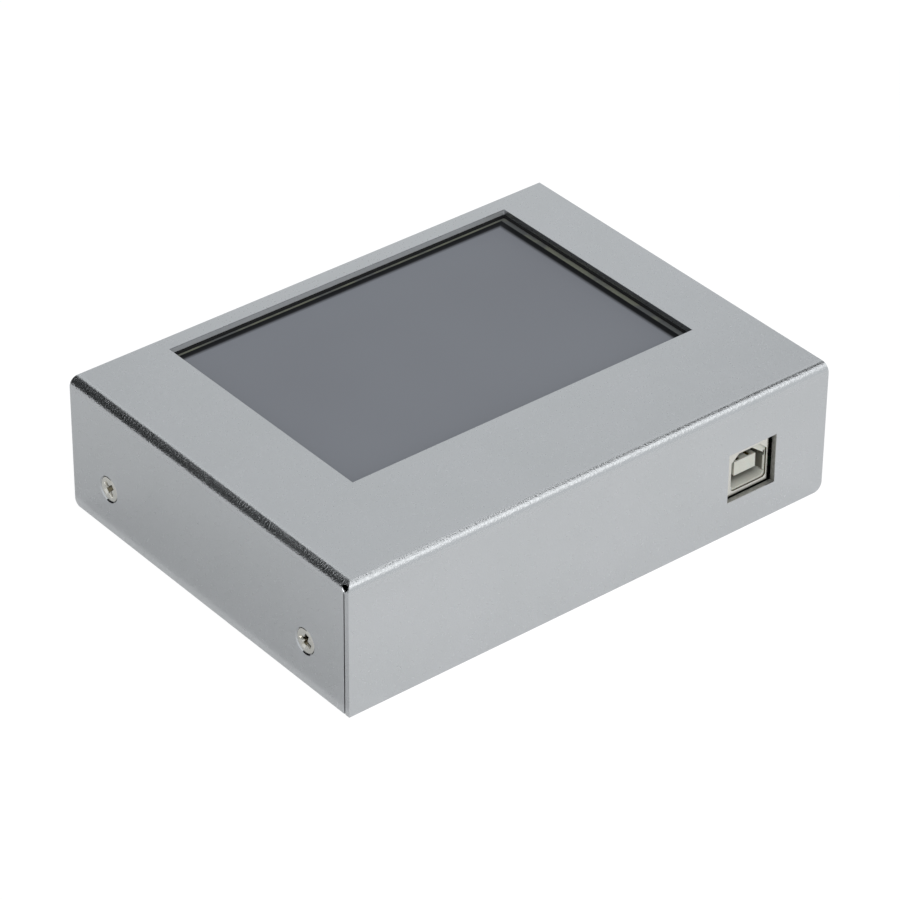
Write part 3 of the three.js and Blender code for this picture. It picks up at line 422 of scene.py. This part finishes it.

# Nickel plate is bright and a little warm. Deep in the cross recesses a dull olive painted shade
# darkens it, and it is dull olive where a punch left the steel bare. Those places are picked out by
# boxes, in mm. Its hairlines are drawn coarser than the real ones, or they wouldn't show.
plate_streak = 0.35 * mm
left_recess_box = (-58.95, -45, 0), (-57.6, 45, 30)
right_recess_box = (57.6, -45, 0), (58.95, 45, 30)
punched_box = (35.6, -42.96, 8.7), (45, -42.6, 17.7)
nickel, tree, shader, place = material_of("bright nickel plate", Metallic=1)
hairlines = add(tree, "ShaderNodeTexNoise", {"Vector": place, "Scale": 1 / plate_streak, "Detail": 3})
warm = add(tree, "ShaderNodeMix", {0: hairlines.outputs["Fac"], 6: linear("CCCAC2"), 7: linear("DCDAD4")},
           data_type="RGBA")
left_recess = in_box(tree, place, *left_recess_box)
right_recess = in_box(tree, place, *right_recess_box)
punched = in_box(tree, place, *punched_box)
recess = add(tree, "ShaderNodeMath", {0: left_recess, 1: right_recess}, operation="MAXIMUM")
darkened = add(tree, "ShaderNodeMath", {0: recess.outputs[0], 1: punched}, operation="MAXIMUM")
# Painted shade in the cross recesses, and the bare steel's colour on the punched faces.
shaded_and_bare = add(tree, "ShaderNodeMix", {0: darkened.outputs[0], 6: warm.outputs[2], 7: linear("6A6352")},
            data_type="RGBA")
bright = add(tree, "ShaderNodeMapRange", {"Value": hairlines.outputs["Fac"], "To Min": 0.14, "To Max": 0.3})
tree.links.new(shaded_and_bare.outputs[2], shader.inputs["Base Color"])
tree.links.new(bright.outputs["Result"], shader.inputs["Roughness"])
give(nickel, *board_screws, *spacer_screws)
break_edges(0.08 * mm, *board_screws, *spacer_screws)

# Turned brass keeps fine rings from the tool.
ring_pitch = 0.15 * mm
brass, tree, shader, place = material_of("turned brass", Metallic=1, Base_Color=linear("C9A55C"))
rings = add(tree, "ShaderNodeTexWave", {"Vector": place, "Scale": math.pi / 10 / ring_pitch,
                                        "Distortion": 0.6}, bands_direction="Z")
ringed = add(tree, "ShaderNodeMapRange", {"Value": rings.outputs["Fac"], "To Min": 0.2, "To Max": 0.34})
tree.links.new(ringed.outputs["Result"], shader.inputs["Roughness"])
give(brass, *spacers)
break_edges(0.1 * mm, *spacers)


# The display: a screen in a folded steel frame, taped under a touch panel, whose satin film
# is what shows in the window. The unlit screen is nearly black, under a smooth clear film.
picture_cell = 0.25 * mm
screen_glass, tree, shader, place = material_of("polariser film on glass", Roughness=0.3, Coat_Weight=0.5)
grid = add(tree, "ShaderNodeTexNoise", {"Vector": place, "Scale": 1 / picture_cell, "Detail": 1})
dark = add(tree, "ShaderNodeMix", {0: grid.outputs["Fac"], 6: linear("3C4044"), 7: linear("45494E")},
           data_type="RGBA")
tree.links.new(dark.outputs[2], shader.inputs["Base Color"])
give(screen_glass, "lcd_panel")
give(zinc, "lcd_frame")
break_edges(0.15 * mm, "lcd_frame")

# Closed cell foam tape: a deep, dull black with fine pores.
foam_cell, pore_depth = 0.18 * mm, 0.05 * mm
black_foam, tree, shader, place = material_of("black closed cell foam", Roughness=0.85,
                                              Base_Color=linear("0D0E10"))
cells = add(tree, "ShaderNodeTexVoronoi", {"Vector": place, "Scale": 1 / foam_cell})
pores = add(tree, "ShaderNodeBump", {"Height": cells.outputs["Distance"], "Strength": 0.6,
                                     "Distance": pore_depth})
tree.links.new(pores.outputs["Normal"], shader.inputs["Normal"])
give(black_foam, "touch_tape", "window_gasket")
break_edges(0.12 * mm, "window_gasket")

# Polyimide film: clear amber over the ribbon's row of copper tracks.
ribbon_pitch = 0.5 * mm
ribbon_film, tree, shader, place = material_of("amber polyimide film", Roughness=0.25)
lines = add(tree, "ShaderNodeTexWave", {"Vector": place, "Scale": math.pi / 10 / ribbon_pitch},
            bands_direction="X")
stripe = add(tree, "ShaderNodeMapRange", {"Value": lines.outputs["Fac"], "From Min": 0.4, "From Max": 0.6})
amber = add(tree, "ShaderNodeMix", {0: stripe.outputs["Result"], 6: linear("9A5A1C"), 7: linear("C08434")},
            data_type="RGBA")
tree.links.new(amber.outputs[2], shader.inputs["Base Color"])
give(ribbon_film, "display_ribbon")

# The satin film hardly mirrors the room, and the unlit screen gives it an even, bluish grey. Round the
# screen's lit area runs its black border, which at the right and far edges fades into the grey as a
# painted shadow of the window's walls, and outside that the film's own border, an olive grey over the
# panel's printed silver leads.
lit_left, lit_right, lit_front, lit_far = -39.2 * mm, 44.6 * mm, -16.95 * mm, 38.73 * mm
border_side, border_end = 1.24 * mm, 1.2 * mm
wall_shadow_width, print_edge = 0.9 * mm, 0.12 * mm
unlit_cloud, lead_length = 30 * mm, 5 * mm
film, tree, shader, place = material_of("satin touch film", Roughness=0.42, IOR=1.5, Specular_IOR_Level=0.16)
axes = add(tree, "ShaderNodeSeparateXYZ", {0: place}).outputs


def rise(tree, value, start, width):
    """0 below start and 1 above start plus width."""
    made = add(tree, "ShaderNodeMapRange", {"Value": value, "From Min": start, "From Max": start + width})
    return made.outputs[0]


def outside(tree, axes, left, right, front, far, fade):
    """1 outside a rectangle and 0 inside it. Inside its right and far edges, fade is the change's width."""
    past_right, past_far = rise(tree, axes["X"], right - fade, fade), rise(tree, axes["Y"], far - fade, fade)
    behind = add(tree, "ShaderNodeMath", {0: past_right, 1: past_far}, operation="MAXIMUM")
    on_left, on_front = rise(tree, axes["X"], left, print_edge), rise(tree, axes["Y"], front, print_edge)
    inner = add(tree, "ShaderNodeMath", {0: on_left, 1: on_front}, operation="MINIMUM")
    before = add(tree, "ShaderNodeMath", {0: 1, 1: inner.outputs[0]}, operation="SUBTRACT")
    either = add(tree, "ShaderNodeMath", {0: behind.outputs[0], 1: before.outputs[0]}, operation="MAXIMUM")
    return either.outputs[0]


unlit = add(tree, "ShaderNodeTexNoise", {"Vector": place, "Scale": 1 / unlit_cloud, "Detail": 1})
grey = add(tree, "ShaderNodeMix", {0: unlit.outputs["Fac"], 6: linear("77797F"), 7: linear("7C7F85")},
           data_type="RGBA")
# Painted shadow of the window's walls: along the right and far edges the black border fades into the grey.
border_and_shadow = outside(tree, axes, lit_left, lit_right, lit_front, lit_far, wall_shadow_width)
to_black = add(tree, "ShaderNodeMix", {0: border_and_shadow, 6: grey.outputs[2], 7: linear("0C0E11")},
               data_type="RGBA")
leads = add(tree, "ShaderNodeTexNoise", {"Vector": place, "Scale": 1 / lead_length, "Detail": 2})
printed = add(tree, "ShaderNodeMapRange", {"Value": leads.outputs["Fac"], "From Min": 0.4, "From Max": 0.6})
olive = add(tree, "ShaderNodeMix", {0: printed.outputs["Result"], 6: linear("5F6161"), 7: linear("75776B")},
            data_type="RGBA")
film_border = outside(tree, axes, lit_left - border_side, lit_right + border_side,
                      lit_front - border_end, lit_far + border_end, print_edge)
to_olive = add(tree, "ShaderNodeMix", {0: film_border, 6: to_black.outputs[2], 7: olive.outputs[2]},
               data_type="RGBA")
tree.links.new(to_olive.outputs[2], shader.inputs["Base Color"])
give(film, "touch_panel")


# The USB socket: its shell is folded from nickel plated steel, so its front has round edges
# and a D shaped mouth. Each solid is drawn out from an outline, and what is open is cut from it.
# The sizes of its pieces are in mm, as the helpers take them.
def drawn(outline, low, high, axis="Y", end_share=1):
    """An outline of the other two axes, drawn out along axis. At high it has end_share of its size."""
    form = bmesh.new()
    ends = []
    for depth, share in ((low, 1), (high, end_share)):
        ring = []
        for u, v in outline:
            point = [u * share, v * share]
            point.insert("XYZ".index(axis), depth)
            ring.append(form.verts.new(Vector(point) * mm))
        ends.append(ring)
    for i in range(len(outline)):
        j = (i + 1) % len(outline)
        form.faces.new((ends[0][i], ends[0][j], ends[1][j], ends[1][i]))
    form.faces.new(ends[0])
    form.faces.new(ends[1])
    bmesh.ops.recalc_face_normals(form, faces=form.faces)
    return form


def rounded(points, radii, steps=6):
    """The outline with its corners rounded by radii, one for each point."""
    made = []
    for i, (point, radius) in enumerate(zip(points, radii)):
        if not radius:
            made.append(point)
            continue
        corner, last, following = (Vector(points[k % len(points)]) for k in (i, i - 1, i + 1))
        back, on = (last - corner).normalized(), (following - corner).normalized()
        half = math.acos(max(-1, min(1, back.dot(on)))) / 2
        middle = corner + (back + on).normalized() * radius / math.sin(half)
        first, end = corner + back * radius / math.tan(half), corner + on * radius / math.tan(half)
        start, stop = (math.atan2(*(p - middle).yx) for p in (first, end))
        turn = (stop - start + math.pi) % (2 * math.pi) - math.pi
        made += [(middle.x + radius * math.cos(start + turn * k / steps),
                  middle.y + radius * math.sin(start + turn * k / steps)) for k in range(steps + 1)]
    return made


def box_outline(u0, u1, v0, v1):
    """The four corners of a rectangle."""
    return [(u0, v0), (u1, v0), (u1, v1), (u0, v1)]


def carved(name, material, body, *steps):
    """A piece made of body. The solid of each (way, solid) of steps cuts it, trims it or is added to it."""
    made = []
    for i, form in enumerate([body] + [solid for _, solid in steps]):
        mesh = bpy.data.meshes.new(name)
        form.to_mesh(mesh)
        form.free()
        made.append(bpy.data.objects.new(name if i == 0 else "cutter", mesh))
        bpy.context.scene.collection.objects.link(made[-1])
    piece, cutters = made[0], made[1:]
    for (way, _), cutter in zip(steps, cutters):
        boolean = piece.modifiers.new("carve", "BOOLEAN")
        boolean.operation = way
        boolean.solver = "EXACT"
        boolean.object = cutter
    bpy.context.view_layer.update()
    whole = bpy.data.meshes.new_from_object(piece.evaluated_get(bpy.context.evaluated_depsgraph_get()))
    piece.modifiers.clear()
    piece.data = whole
    for cutter in cutters:
        bpy.data.objects.remove(cutter)
    whole.materials.clear()
    whole.materials.append(material)
    return piece


socket_left, socket_right, socket_front, socket_back = 34.15, 45.85, -43, -27
socket_bottom, socket_top, plate_bottom = 7.4, 18.6, 7.85
sheet, fold, under_fold, fold_steps = 0.35, 0.9, 0.6, 10
lip_back, lip_top = -41.3, 8.2
mouth_corner, cut_corner = 0.9, 0.3

# A solid that cuts another reaches past it by one of these lengths.
past, just_past = 1, 0.1


def mouth_outline(left, right, bottom, top, left_cut, right_cut):
    """The D shape of the mouth: its upper corners are cut off by these widths and heights."""
    return rounded([(left, bottom), (right, bottom), (right, top - right_cut[1]), (right - right_cut[0], top),
                    (left + left_cut[0], top), (left, top - left_cut[1])],
                   [mouth_corner] * 2 + [cut_corner] * 4)


def plan_outline(inset, front, radius, back=socket_back):
    """The socket seen from above, inset from the shell's sides, with rounded front corners."""
    return rounded([(socket_left + inset, back), (socket_left + inset, front), (socket_right - inset, front),
                    (socket_right - inset, back)], [0, radius, radius, 0], fold_steps)


hollow = drawn(plan_outline(sheet, socket_front + sheet, fold - sheet, socket_back + past), lip_top,
               socket_top - sheet, "Z")
open_underside = drawn(box_outline(socket_left + sheet, socket_right - sheet, lip_back, socket_back + past),
                       socket_bottom - past, lip_top + just_past, "Z")
below_plate = drawn(
    rounded([(socket_front - past, socket_bottom - past), (lip_back, socket_bottom - past),
             (lip_back, plate_bottom), (socket_front, plate_bottom), (socket_front, plate_bottom + 2 * past),
             (socket_front - past, plate_bottom + 2 * past)], [0, 0, 0, under_fold, 0, 0], fold_steps),
    socket_left - past, socket_right + past, "X")
shell_mouth = drawn(mouth_outline(left=35.65, right=44.85, bottom=9, top=17.4, left_cut=(1.9, 1.65),
                                  right_cut=(1.9, 1.65)),
                    socket_front - past, socket_front + sheet + just_past)
shell = carved(
    "usb_socket_shell", nickel, drawn(plan_outline(0, socket_front, fold), socket_bottom, socket_top, "Z"),
    ("DIFFERENCE", hollow), ("DIFFERENCE", open_underside), ("DIFFERENCE", below_plate),
    ("DIFFERENCE", shell_mouth))
soften(shell, 0.1 * mm)
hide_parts("usb_shell")
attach(shell, "instrument")

# The socket's insulator is moulded in one with its tongue, and sits in the shell over its lip.
# The mouth's right side has a wide cut corner and two notches, and the tongue four slots.
moulding_front, moulding_inset, moulding_round, mouth_end = -42.57, 0.43, 0.7, -33.57
foot_front, foot_height = moulding_front + 2, 8.1
notch_left, notch_right, notch_end = 44.3, 44.85, moulding_front + 1.6
notch_heights = (13.75, 15.1), (10.1, 10.45)
tongue_left, tongue_right, tongue_low, tongue_high, tongue_front = 37.5, 43.1, 11.45, 14.65, -41.77
tongue_round, tongue_root, lip_gap = 0.15, 0.5, 0.05
slot_lefts, slot_width, slot_depth, slot_front = (38.35, 41.15), 1.1, 0.5, tongue_front + 0.35

above_lip = drawn(box_outline(socket_left, socket_right, socket_bottom - past, lip_top + lip_gap),
                  moulding_front - past, lip_back + just_past)
before_foot = drawn(box_outline(socket_left, socket_right, socket_bottom - past, foot_height),
                    moulding_front - past, foot_front)
deep_mouth = drawn(mouth_outline(left=36.05, right=44.45, bottom=9.3, top=17.1, left_cut=(1.6, 1.4),
                                 right_cut=(3.3, 2.5)),
                   moulding_front - past, mouth_end)
notches = [drawn(box_outline(notch_left, notch_right, low, high), moulding_front - past, notch_end)
           for low, high in notch_heights]
tongue_outline = box_outline(tongue_left, tongue_right, tongue_low, tongue_high)
tongue = drawn(rounded(tongue_outline, [tongue_round] * 4, 3), tongue_front, mouth_end + tongue_root)
slots = [(left, left + slot_width, tongue_high - slot_depth, tongue_high + past) for left in slot_lefts]
slots += [(left, left + slot_width, tongue_low - past, tongue_low + slot_depth) for left in slot_lefts]
moulding = carved(
    "usb_socket_insulator", pale_plastic,
    drawn(plan_outline(moulding_inset, moulding_front, moulding_round), socket_bottom,
          socket_top - moulding_inset, "Z"),
    ("DIFFERENCE", above_lip), ("DIFFERENCE", before_foot), ("DIFFERENCE", deep_mouth),
    *[("DIFFERENCE", notch) for notch in notches], ("UNION", tongue),
    *[("DIFFERENCE", drawn(box_outline(*slot), slot_front, mouth_end)) for slot in slots])
soften(moulding, 0.12 * mm)
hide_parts("usb_insulator")
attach(moulding, "instrument")

# The four contacts are strips of brass in the tongue's slots. Thin gold over brass is yellow, with
# a polish that is worn in places.
worn_patch = 1.2 * mm
contact_gap, contact_sunk, contact_proud, contact_round = 0.2, 0.1, 0.25, 0.1
contact_front, contact_back = tongue_front + 0.5, mouth_end + 0.3
gold, tree, shader, place = material_of("gold plated brass", Metallic=1)
worn = add(tree, "ShaderNodeTexNoise", {"Vector": place, "Scale": 1 / worn_patch, "Detail": 3})
yellow = add(tree, "ShaderNodeMix", {0: worn.outputs["Fac"], 6: linear("CDAE66"), 7: linear("DCC07A")},
             data_type="RGBA")
polish = add(tree, "ShaderNodeMapRange", {"Value": worn.outputs["Fac"], "To Min": 0.14, "To Max": 0.26})
tree.links.new(yellow.outputs[2], shader.inputs["Base Color"])
tree.links.new(polish.outputs["Result"], shader.inputs["Roughness"])

for number, (left, right, low, high) in enumerate(slots, 1):
    floor, outward = (low, 1) if low > tongue_low else (high, -1)
    low_face, high_face = sorted((floor - contact_sunk * outward, floor + contact_proud * outward))
    strip = rounded(box_outline(contact_front, contact_back, low_face, high_face),
                    [contact_round, 0, 0, contact_round], 3)
    contact = carved("usb_contact_%d" % number, gold,
                     drawn(strip, left + contact_gap, right - contact_gap, "X"))
    soften(contact, 0.04 * mm)
    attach(contact, "instrument")


# The two test jacks: brass bars, turned, threaded and gold plated, held through the far wall by a
# washer and a nut. White plastic insulates the contact in the middle.
def turned(profile, steps=48):
    """A turned solid round Z from its profile: each point's radius and height, in mm."""
    form = bmesh.new()
    rings = []
    for radius, height in profile:
        turns = [2 * math.pi * k / steps for k in range(steps if radius else 1)]
        rings.append([form.verts.new(Vector((radius * math.cos(turn), radius * math.sin(turn), height)) * mm)
                      for turn in turns])
    for ring, after in zip(rings, rings[1:]):
        for k in range(steps):
            j = (k + 1) % steps
            around = [ring[k % len(ring)], ring[j % len(ring)], after[j % len(after)], after[k % len(after)]]
            form.faces.new(list(dict.fromkeys(around)))
    bmesh.ops.recalc_face_normals(form, faces=form.faces)
    return form


def threaded(radius, depth, pitch, low, high, steps=40):
    """A rod along Z with a helical thread cut depth mm into its radius.

    Each column of points has a crest or a root of the thread every half pitch, and so climbs by one pitch
    from the first column round to the first again.
    """
    form = bmesh.new()
    kinks = int(2 * (high - low) / pitch) + 7
    columns = []
    for i in range(steps):
        column = []
        for k in range(kinks):
            height = min(max(low + pitch * (k / 2 + i / steps - 1), low), high)
            phase = ((height - low) / pitch - i / steps) % 1
            r = radius - depth * (1 - abs(2 * phase - 1))
            turn = 2 * math.pi * i / steps
            column.append(form.verts.new(Vector((r * math.cos(turn), r * math.sin(turn), height)) * mm))
        columns.append(column)
    for i in range(steps):
        ahead = columns[i + 1] if i < steps - 1 else columns[0][2:]
        for k in range(len(ahead) - 1):
            form.faces.new((columns[i][k], ahead[k], ahead[k + 1], columns[i][k + 1]))
    bmesh.ops.remove_doubles(form, verts=form.verts, dist=0.0005 * mm)
    bmesh.ops.holes_fill(form, edges=[edge for edge in form.edges if edge.is_boundary], sides=0)
    bmesh.ops.recalc_face_normals(form, faces=form.faces)
    return form


# Turned fluoroplastic: a soft, waxy white.
wax_mottle, wax_depth = 0.8 * mm, 0.5 * mm
white_plastic, tree, shader, place = material_of("turned white fluoroplastic", Roughness=0.5, IOR=1.36,
                                                 Subsurface_Weight=0.1, Subsurface_Scale=wax_depth)
waxy = add(tree, "ShaderNodeTexNoise", {"Vector": place, "Scale": 1 / wax_mottle, "Detail": 2})
ivory = add(tree, "ShaderNodeMix", {0: waxy.outputs["Fac"], 6: linear("E6E3DA"), 7: linear("F0EEE7")},
            data_type="RGBA")
tree.links.new(ivory.outputs[2], shader.inputs["Base Color"])

jack_places = {"jack_1_": 26, "jack_2_": -6}
wall_outside, jack_height = 44.1, 8.035
barrel_radius, barrel_chamfer, chamfer_length, barrel_end = 3.175, 0.45, 0.5, 10
bore_radius, bore_flare, flare_depth = 2.3, 0.3, 0.15
thread_pitch, thread_depth, thread_start = 25.4 / 36, 0.36, -1.7
flange_front, flange_back, flange_round = -1.2, -2.9, 0.5
flange_outline = box_outline(-4.75, 4.75, -4, 4)
leg_end, leg_columns, leg_rows = -7.3, ((-4.15, -3.15), (3.15, 4.15)), ((-0.365, 0.635), (2.235, 3.235))
nut_low, nut_high, nut_flat, nut_face, nut_chamfer = 0.5, 2.7, 4, 3.85, 0.5
nut_bore, nut_mouth, nut_mouth_depth = 3.295, 3.6, 0.2
nut_corner = nut_flat / math.cos(math.radians(30))
hexagon = [(nut_corner * math.cos(math.radians(60 * k)), nut_corner * math.sin(math.radians(60 * k)))
           for k in range(6)]
for jack, x in jack_places.items():
    rod = threaded(barrel_radius, thread_depth, thread_pitch, thread_start, barrel_end)
    chamfered = turned([(0, flange_back - just_past), (barrel_radius + just_past, flange_back - just_past),
                        (barrel_radius + just_past, barrel_end - chamfer_length),
                        (barrel_radius - barrel_chamfer, barrel_end), (0, barrel_end)])
    flange = drawn(rounded(flange_outline, [flange_round] * 4), flange_back, flange_front, "Z")
    legs = [drawn(box_outline(*column, *row), leg_end, flange_front, "Z")
            for column in leg_columns for row in leg_rows]
    bore = turned([(0, flange_back - past), (bore_radius, flange_back - past),
                   (bore_radius, barrel_end - flare_depth),
                   (bore_radius + bore_flare, barrel_end + flare_depth), (0, barrel_end + flare_depth)])
    bar = carved(jack + "bar", gold, rod, ("INTERSECT", chamfered), ("UNION", flange),
                 *[("UNION", leg) for leg in legs], ("DIFFERENCE", bore))
    domed = turned([(0, nut_low), (nut_face, nut_low), (nut_corner + just_past, nut_low + nut_chamfer),
                    (nut_corner + just_past, nut_high - nut_chamfer), (nut_face, nut_high), (0, nut_high)])
    nut_hole = turned([(0, 0), (nut_bore, 0), (nut_bore, nut_high - nut_mouth_depth),
                       (nut_mouth, nut_high + just_past), (0, nut_high + just_past)])
    nut = carved(jack + "hexagon", gold, drawn(hexagon, nut_low, nut_high, "Z"), ("INTERSECT", domed),
                 ("DIFFERENCE", nut_hole))
    stand = (Matrix.Translation(Vector((x, wall_outside, jack_height)) * mm)
             @ Matrix.Rotation(math.radians(-90), 4, "X"))
    for piece, name in ((bar, jack + "body"), (nut, jack + "nut")):
        piece.data.transform(stand)
        soften(piece, 0.05 * mm, angle=40, segments=1)
        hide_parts(name)
        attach(piece, "instrument")
    give(gold, jack + "contact", jack + "washer")
    give(white_plastic, jack + "insulator")
    break_edges(0.12 * mm, jack + "washer")
    break_edges(0.04 * mm, jack + "contact", jack + "insulator")


# The power switch and the status lamp, soldered to the main board behind the far wall.
# The switch's slider is the one piece that moves. The lamp is moulded of clear epoxy, slightly
# green and hazy.
give(black_plastic, "switch_body", "switch_slider")
break_edges(0.15 * mm, "switch_body")
break_edges(0.12 * mm, "switch_slider")
haze_patch = 0.8 * mm
lens, tree, shader, place = material_of("clear moulded epoxy", Transmission_Weight=0.85, IOR=1.54)
haze = add(tree, "ShaderNodeTexNoise", {"Vector": place, "Scale": 1 / haze_patch, "Detail": 2})
tint = add(tree, "ShaderNodeMix", {0: haze.outputs["Fac"], 6: linear("C9DCCB"), 7: linear("DCE8DC")},
           data_type="RGBA")
soft = add(tree, "ShaderNodeMapRange", {"Value": haze.outputs["Fac"], "To Min": 0.08, "To Max": 0.2})
tree.links.new(tint.outputs[2], shader.inputs["Base Color"])
tree.links.new(soft.outputs["Result"], shader.inputs["Roughness"])
give(lens, "status_lamp")
break_edges(0.05 * mm, "status_lamp", angle=50)


# The top cover: a second sheet of the same aluminium with the top, the front side and the left
# side, and the window and the socket's opening cut in it. Two tapped blocks are pressed under it.
give(case_metal, "top_cover", "cover_block_front", "cover_block_rear")
break_edges(case_edge_break, "top_cover", "cover_block_front", "cover_block_rear")

# The two bends meet in a sharp mitre. Each bend's own steps are under 5 degrees, so what turns
# more than that between two faces is an edge, and the shading stops there.
crease_angle = 5.2
mitre = bpy.data.node_groups.new("creases stay sharp", "GeometryNodeTree")
for way in ("INPUT", "OUTPUT"):
    mitre.interface.new_socket("Mesh", in_out=way, socket_type="NodeSocketGeometry")
given = add(mitre, "NodeGroupInput")
edge_angle = add(mitre, "GeometryNodeInputMeshEdgeAngle")
gentle = add(mitre, "FunctionNodeCompare", {0: edge_angle.outputs[0], 1: math.radians(crease_angle)},
             operation="LESS_THAN")
smoothed = add(mitre, "GeometryNodeSetShadeSmooth", {0: given.outputs[0], 2: gentle.outputs[0]},
               domain="EDGE")
add(mitre, "NodeGroupOutput", {0: smoothed.outputs[0]})
cover = nodes["top_cover"]
cover.modifiers.new("mitre", "NODES").node_group = mitre
cover.modifiers.move(cover.modifiers.find("mitre"), cover.modifiers.find("flat faces stay flat"))
cover.modifiers["flat faces stay flat"].keep_sharp = True


# The four screws that close the case: M3, countersunk, steel under bright nickel plate. The head
# is turned with a rounded rim, and the cross recess is struck into it with a tapered punch.
head_outside, head_foot, shank_radius, screw_end, tip_chamfer = 59.4, 1.25, 1.5, 6, 0.4
head_rim = [(2.3, 0), (2.46, 0.03), (2.57, 0.09), (2.62, 0.13)]
wing, half_wing, cross_top, cross_depth, cross_taper = 1.8, 0.56, -0.02, 1.3, 0.42
screw_profile = [(0, 0), *head_rim, (shank_radius, head_foot), (shank_radius, screw_end - tip_chamfer),
                 (shank_radius - tip_chamfer, screw_end), (0, screw_end)]
core_mouth, core_top, core_foot, foot_depth, core_end = 1, 0.92, 0.3, cross_depth + 0.15, cross_depth + 0.3
core_profile = [(0, -just_past), (core_mouth, -just_past), (core_top, 0), (core_foot, foot_depth),
                (0, core_end)]
arm = [(wing, -half_wing), (wing, half_wing), (half_wing, half_wing)]
cross = []
for quarter in range(4):
    cross += arm
    arm = [(-v, u) for u, v in arm]
screw_turns = {
    "left_screw_front": 20, "left_screw_rear": 48,
    "right_screw_front": -20, "right_screw_rear": -48,
}
for (name, turn), (side, y, z) in zip(screw_turns.items(), screw_seats):
    screw = carved(name + "_turned", nickel, turned(screw_profile),
                   ("DIFFERENCE", drawn(cross, cross_top, cross_depth, "Z", cross_taper)),
                   ("DIFFERENCE", turned(core_profile)))
    screw.data.transform(
        Matrix.Translation(Vector((side * head_outside, y, z)) * mm)
        @ Matrix.Rotation(math.radians(-90 * side), 4, "Y") @ Matrix.Rotation(math.radians(turn), 4, "Z"))
    soften(screw, 0.07 * mm, angle=35)
    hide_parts(name)
    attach(screw, "instrument")
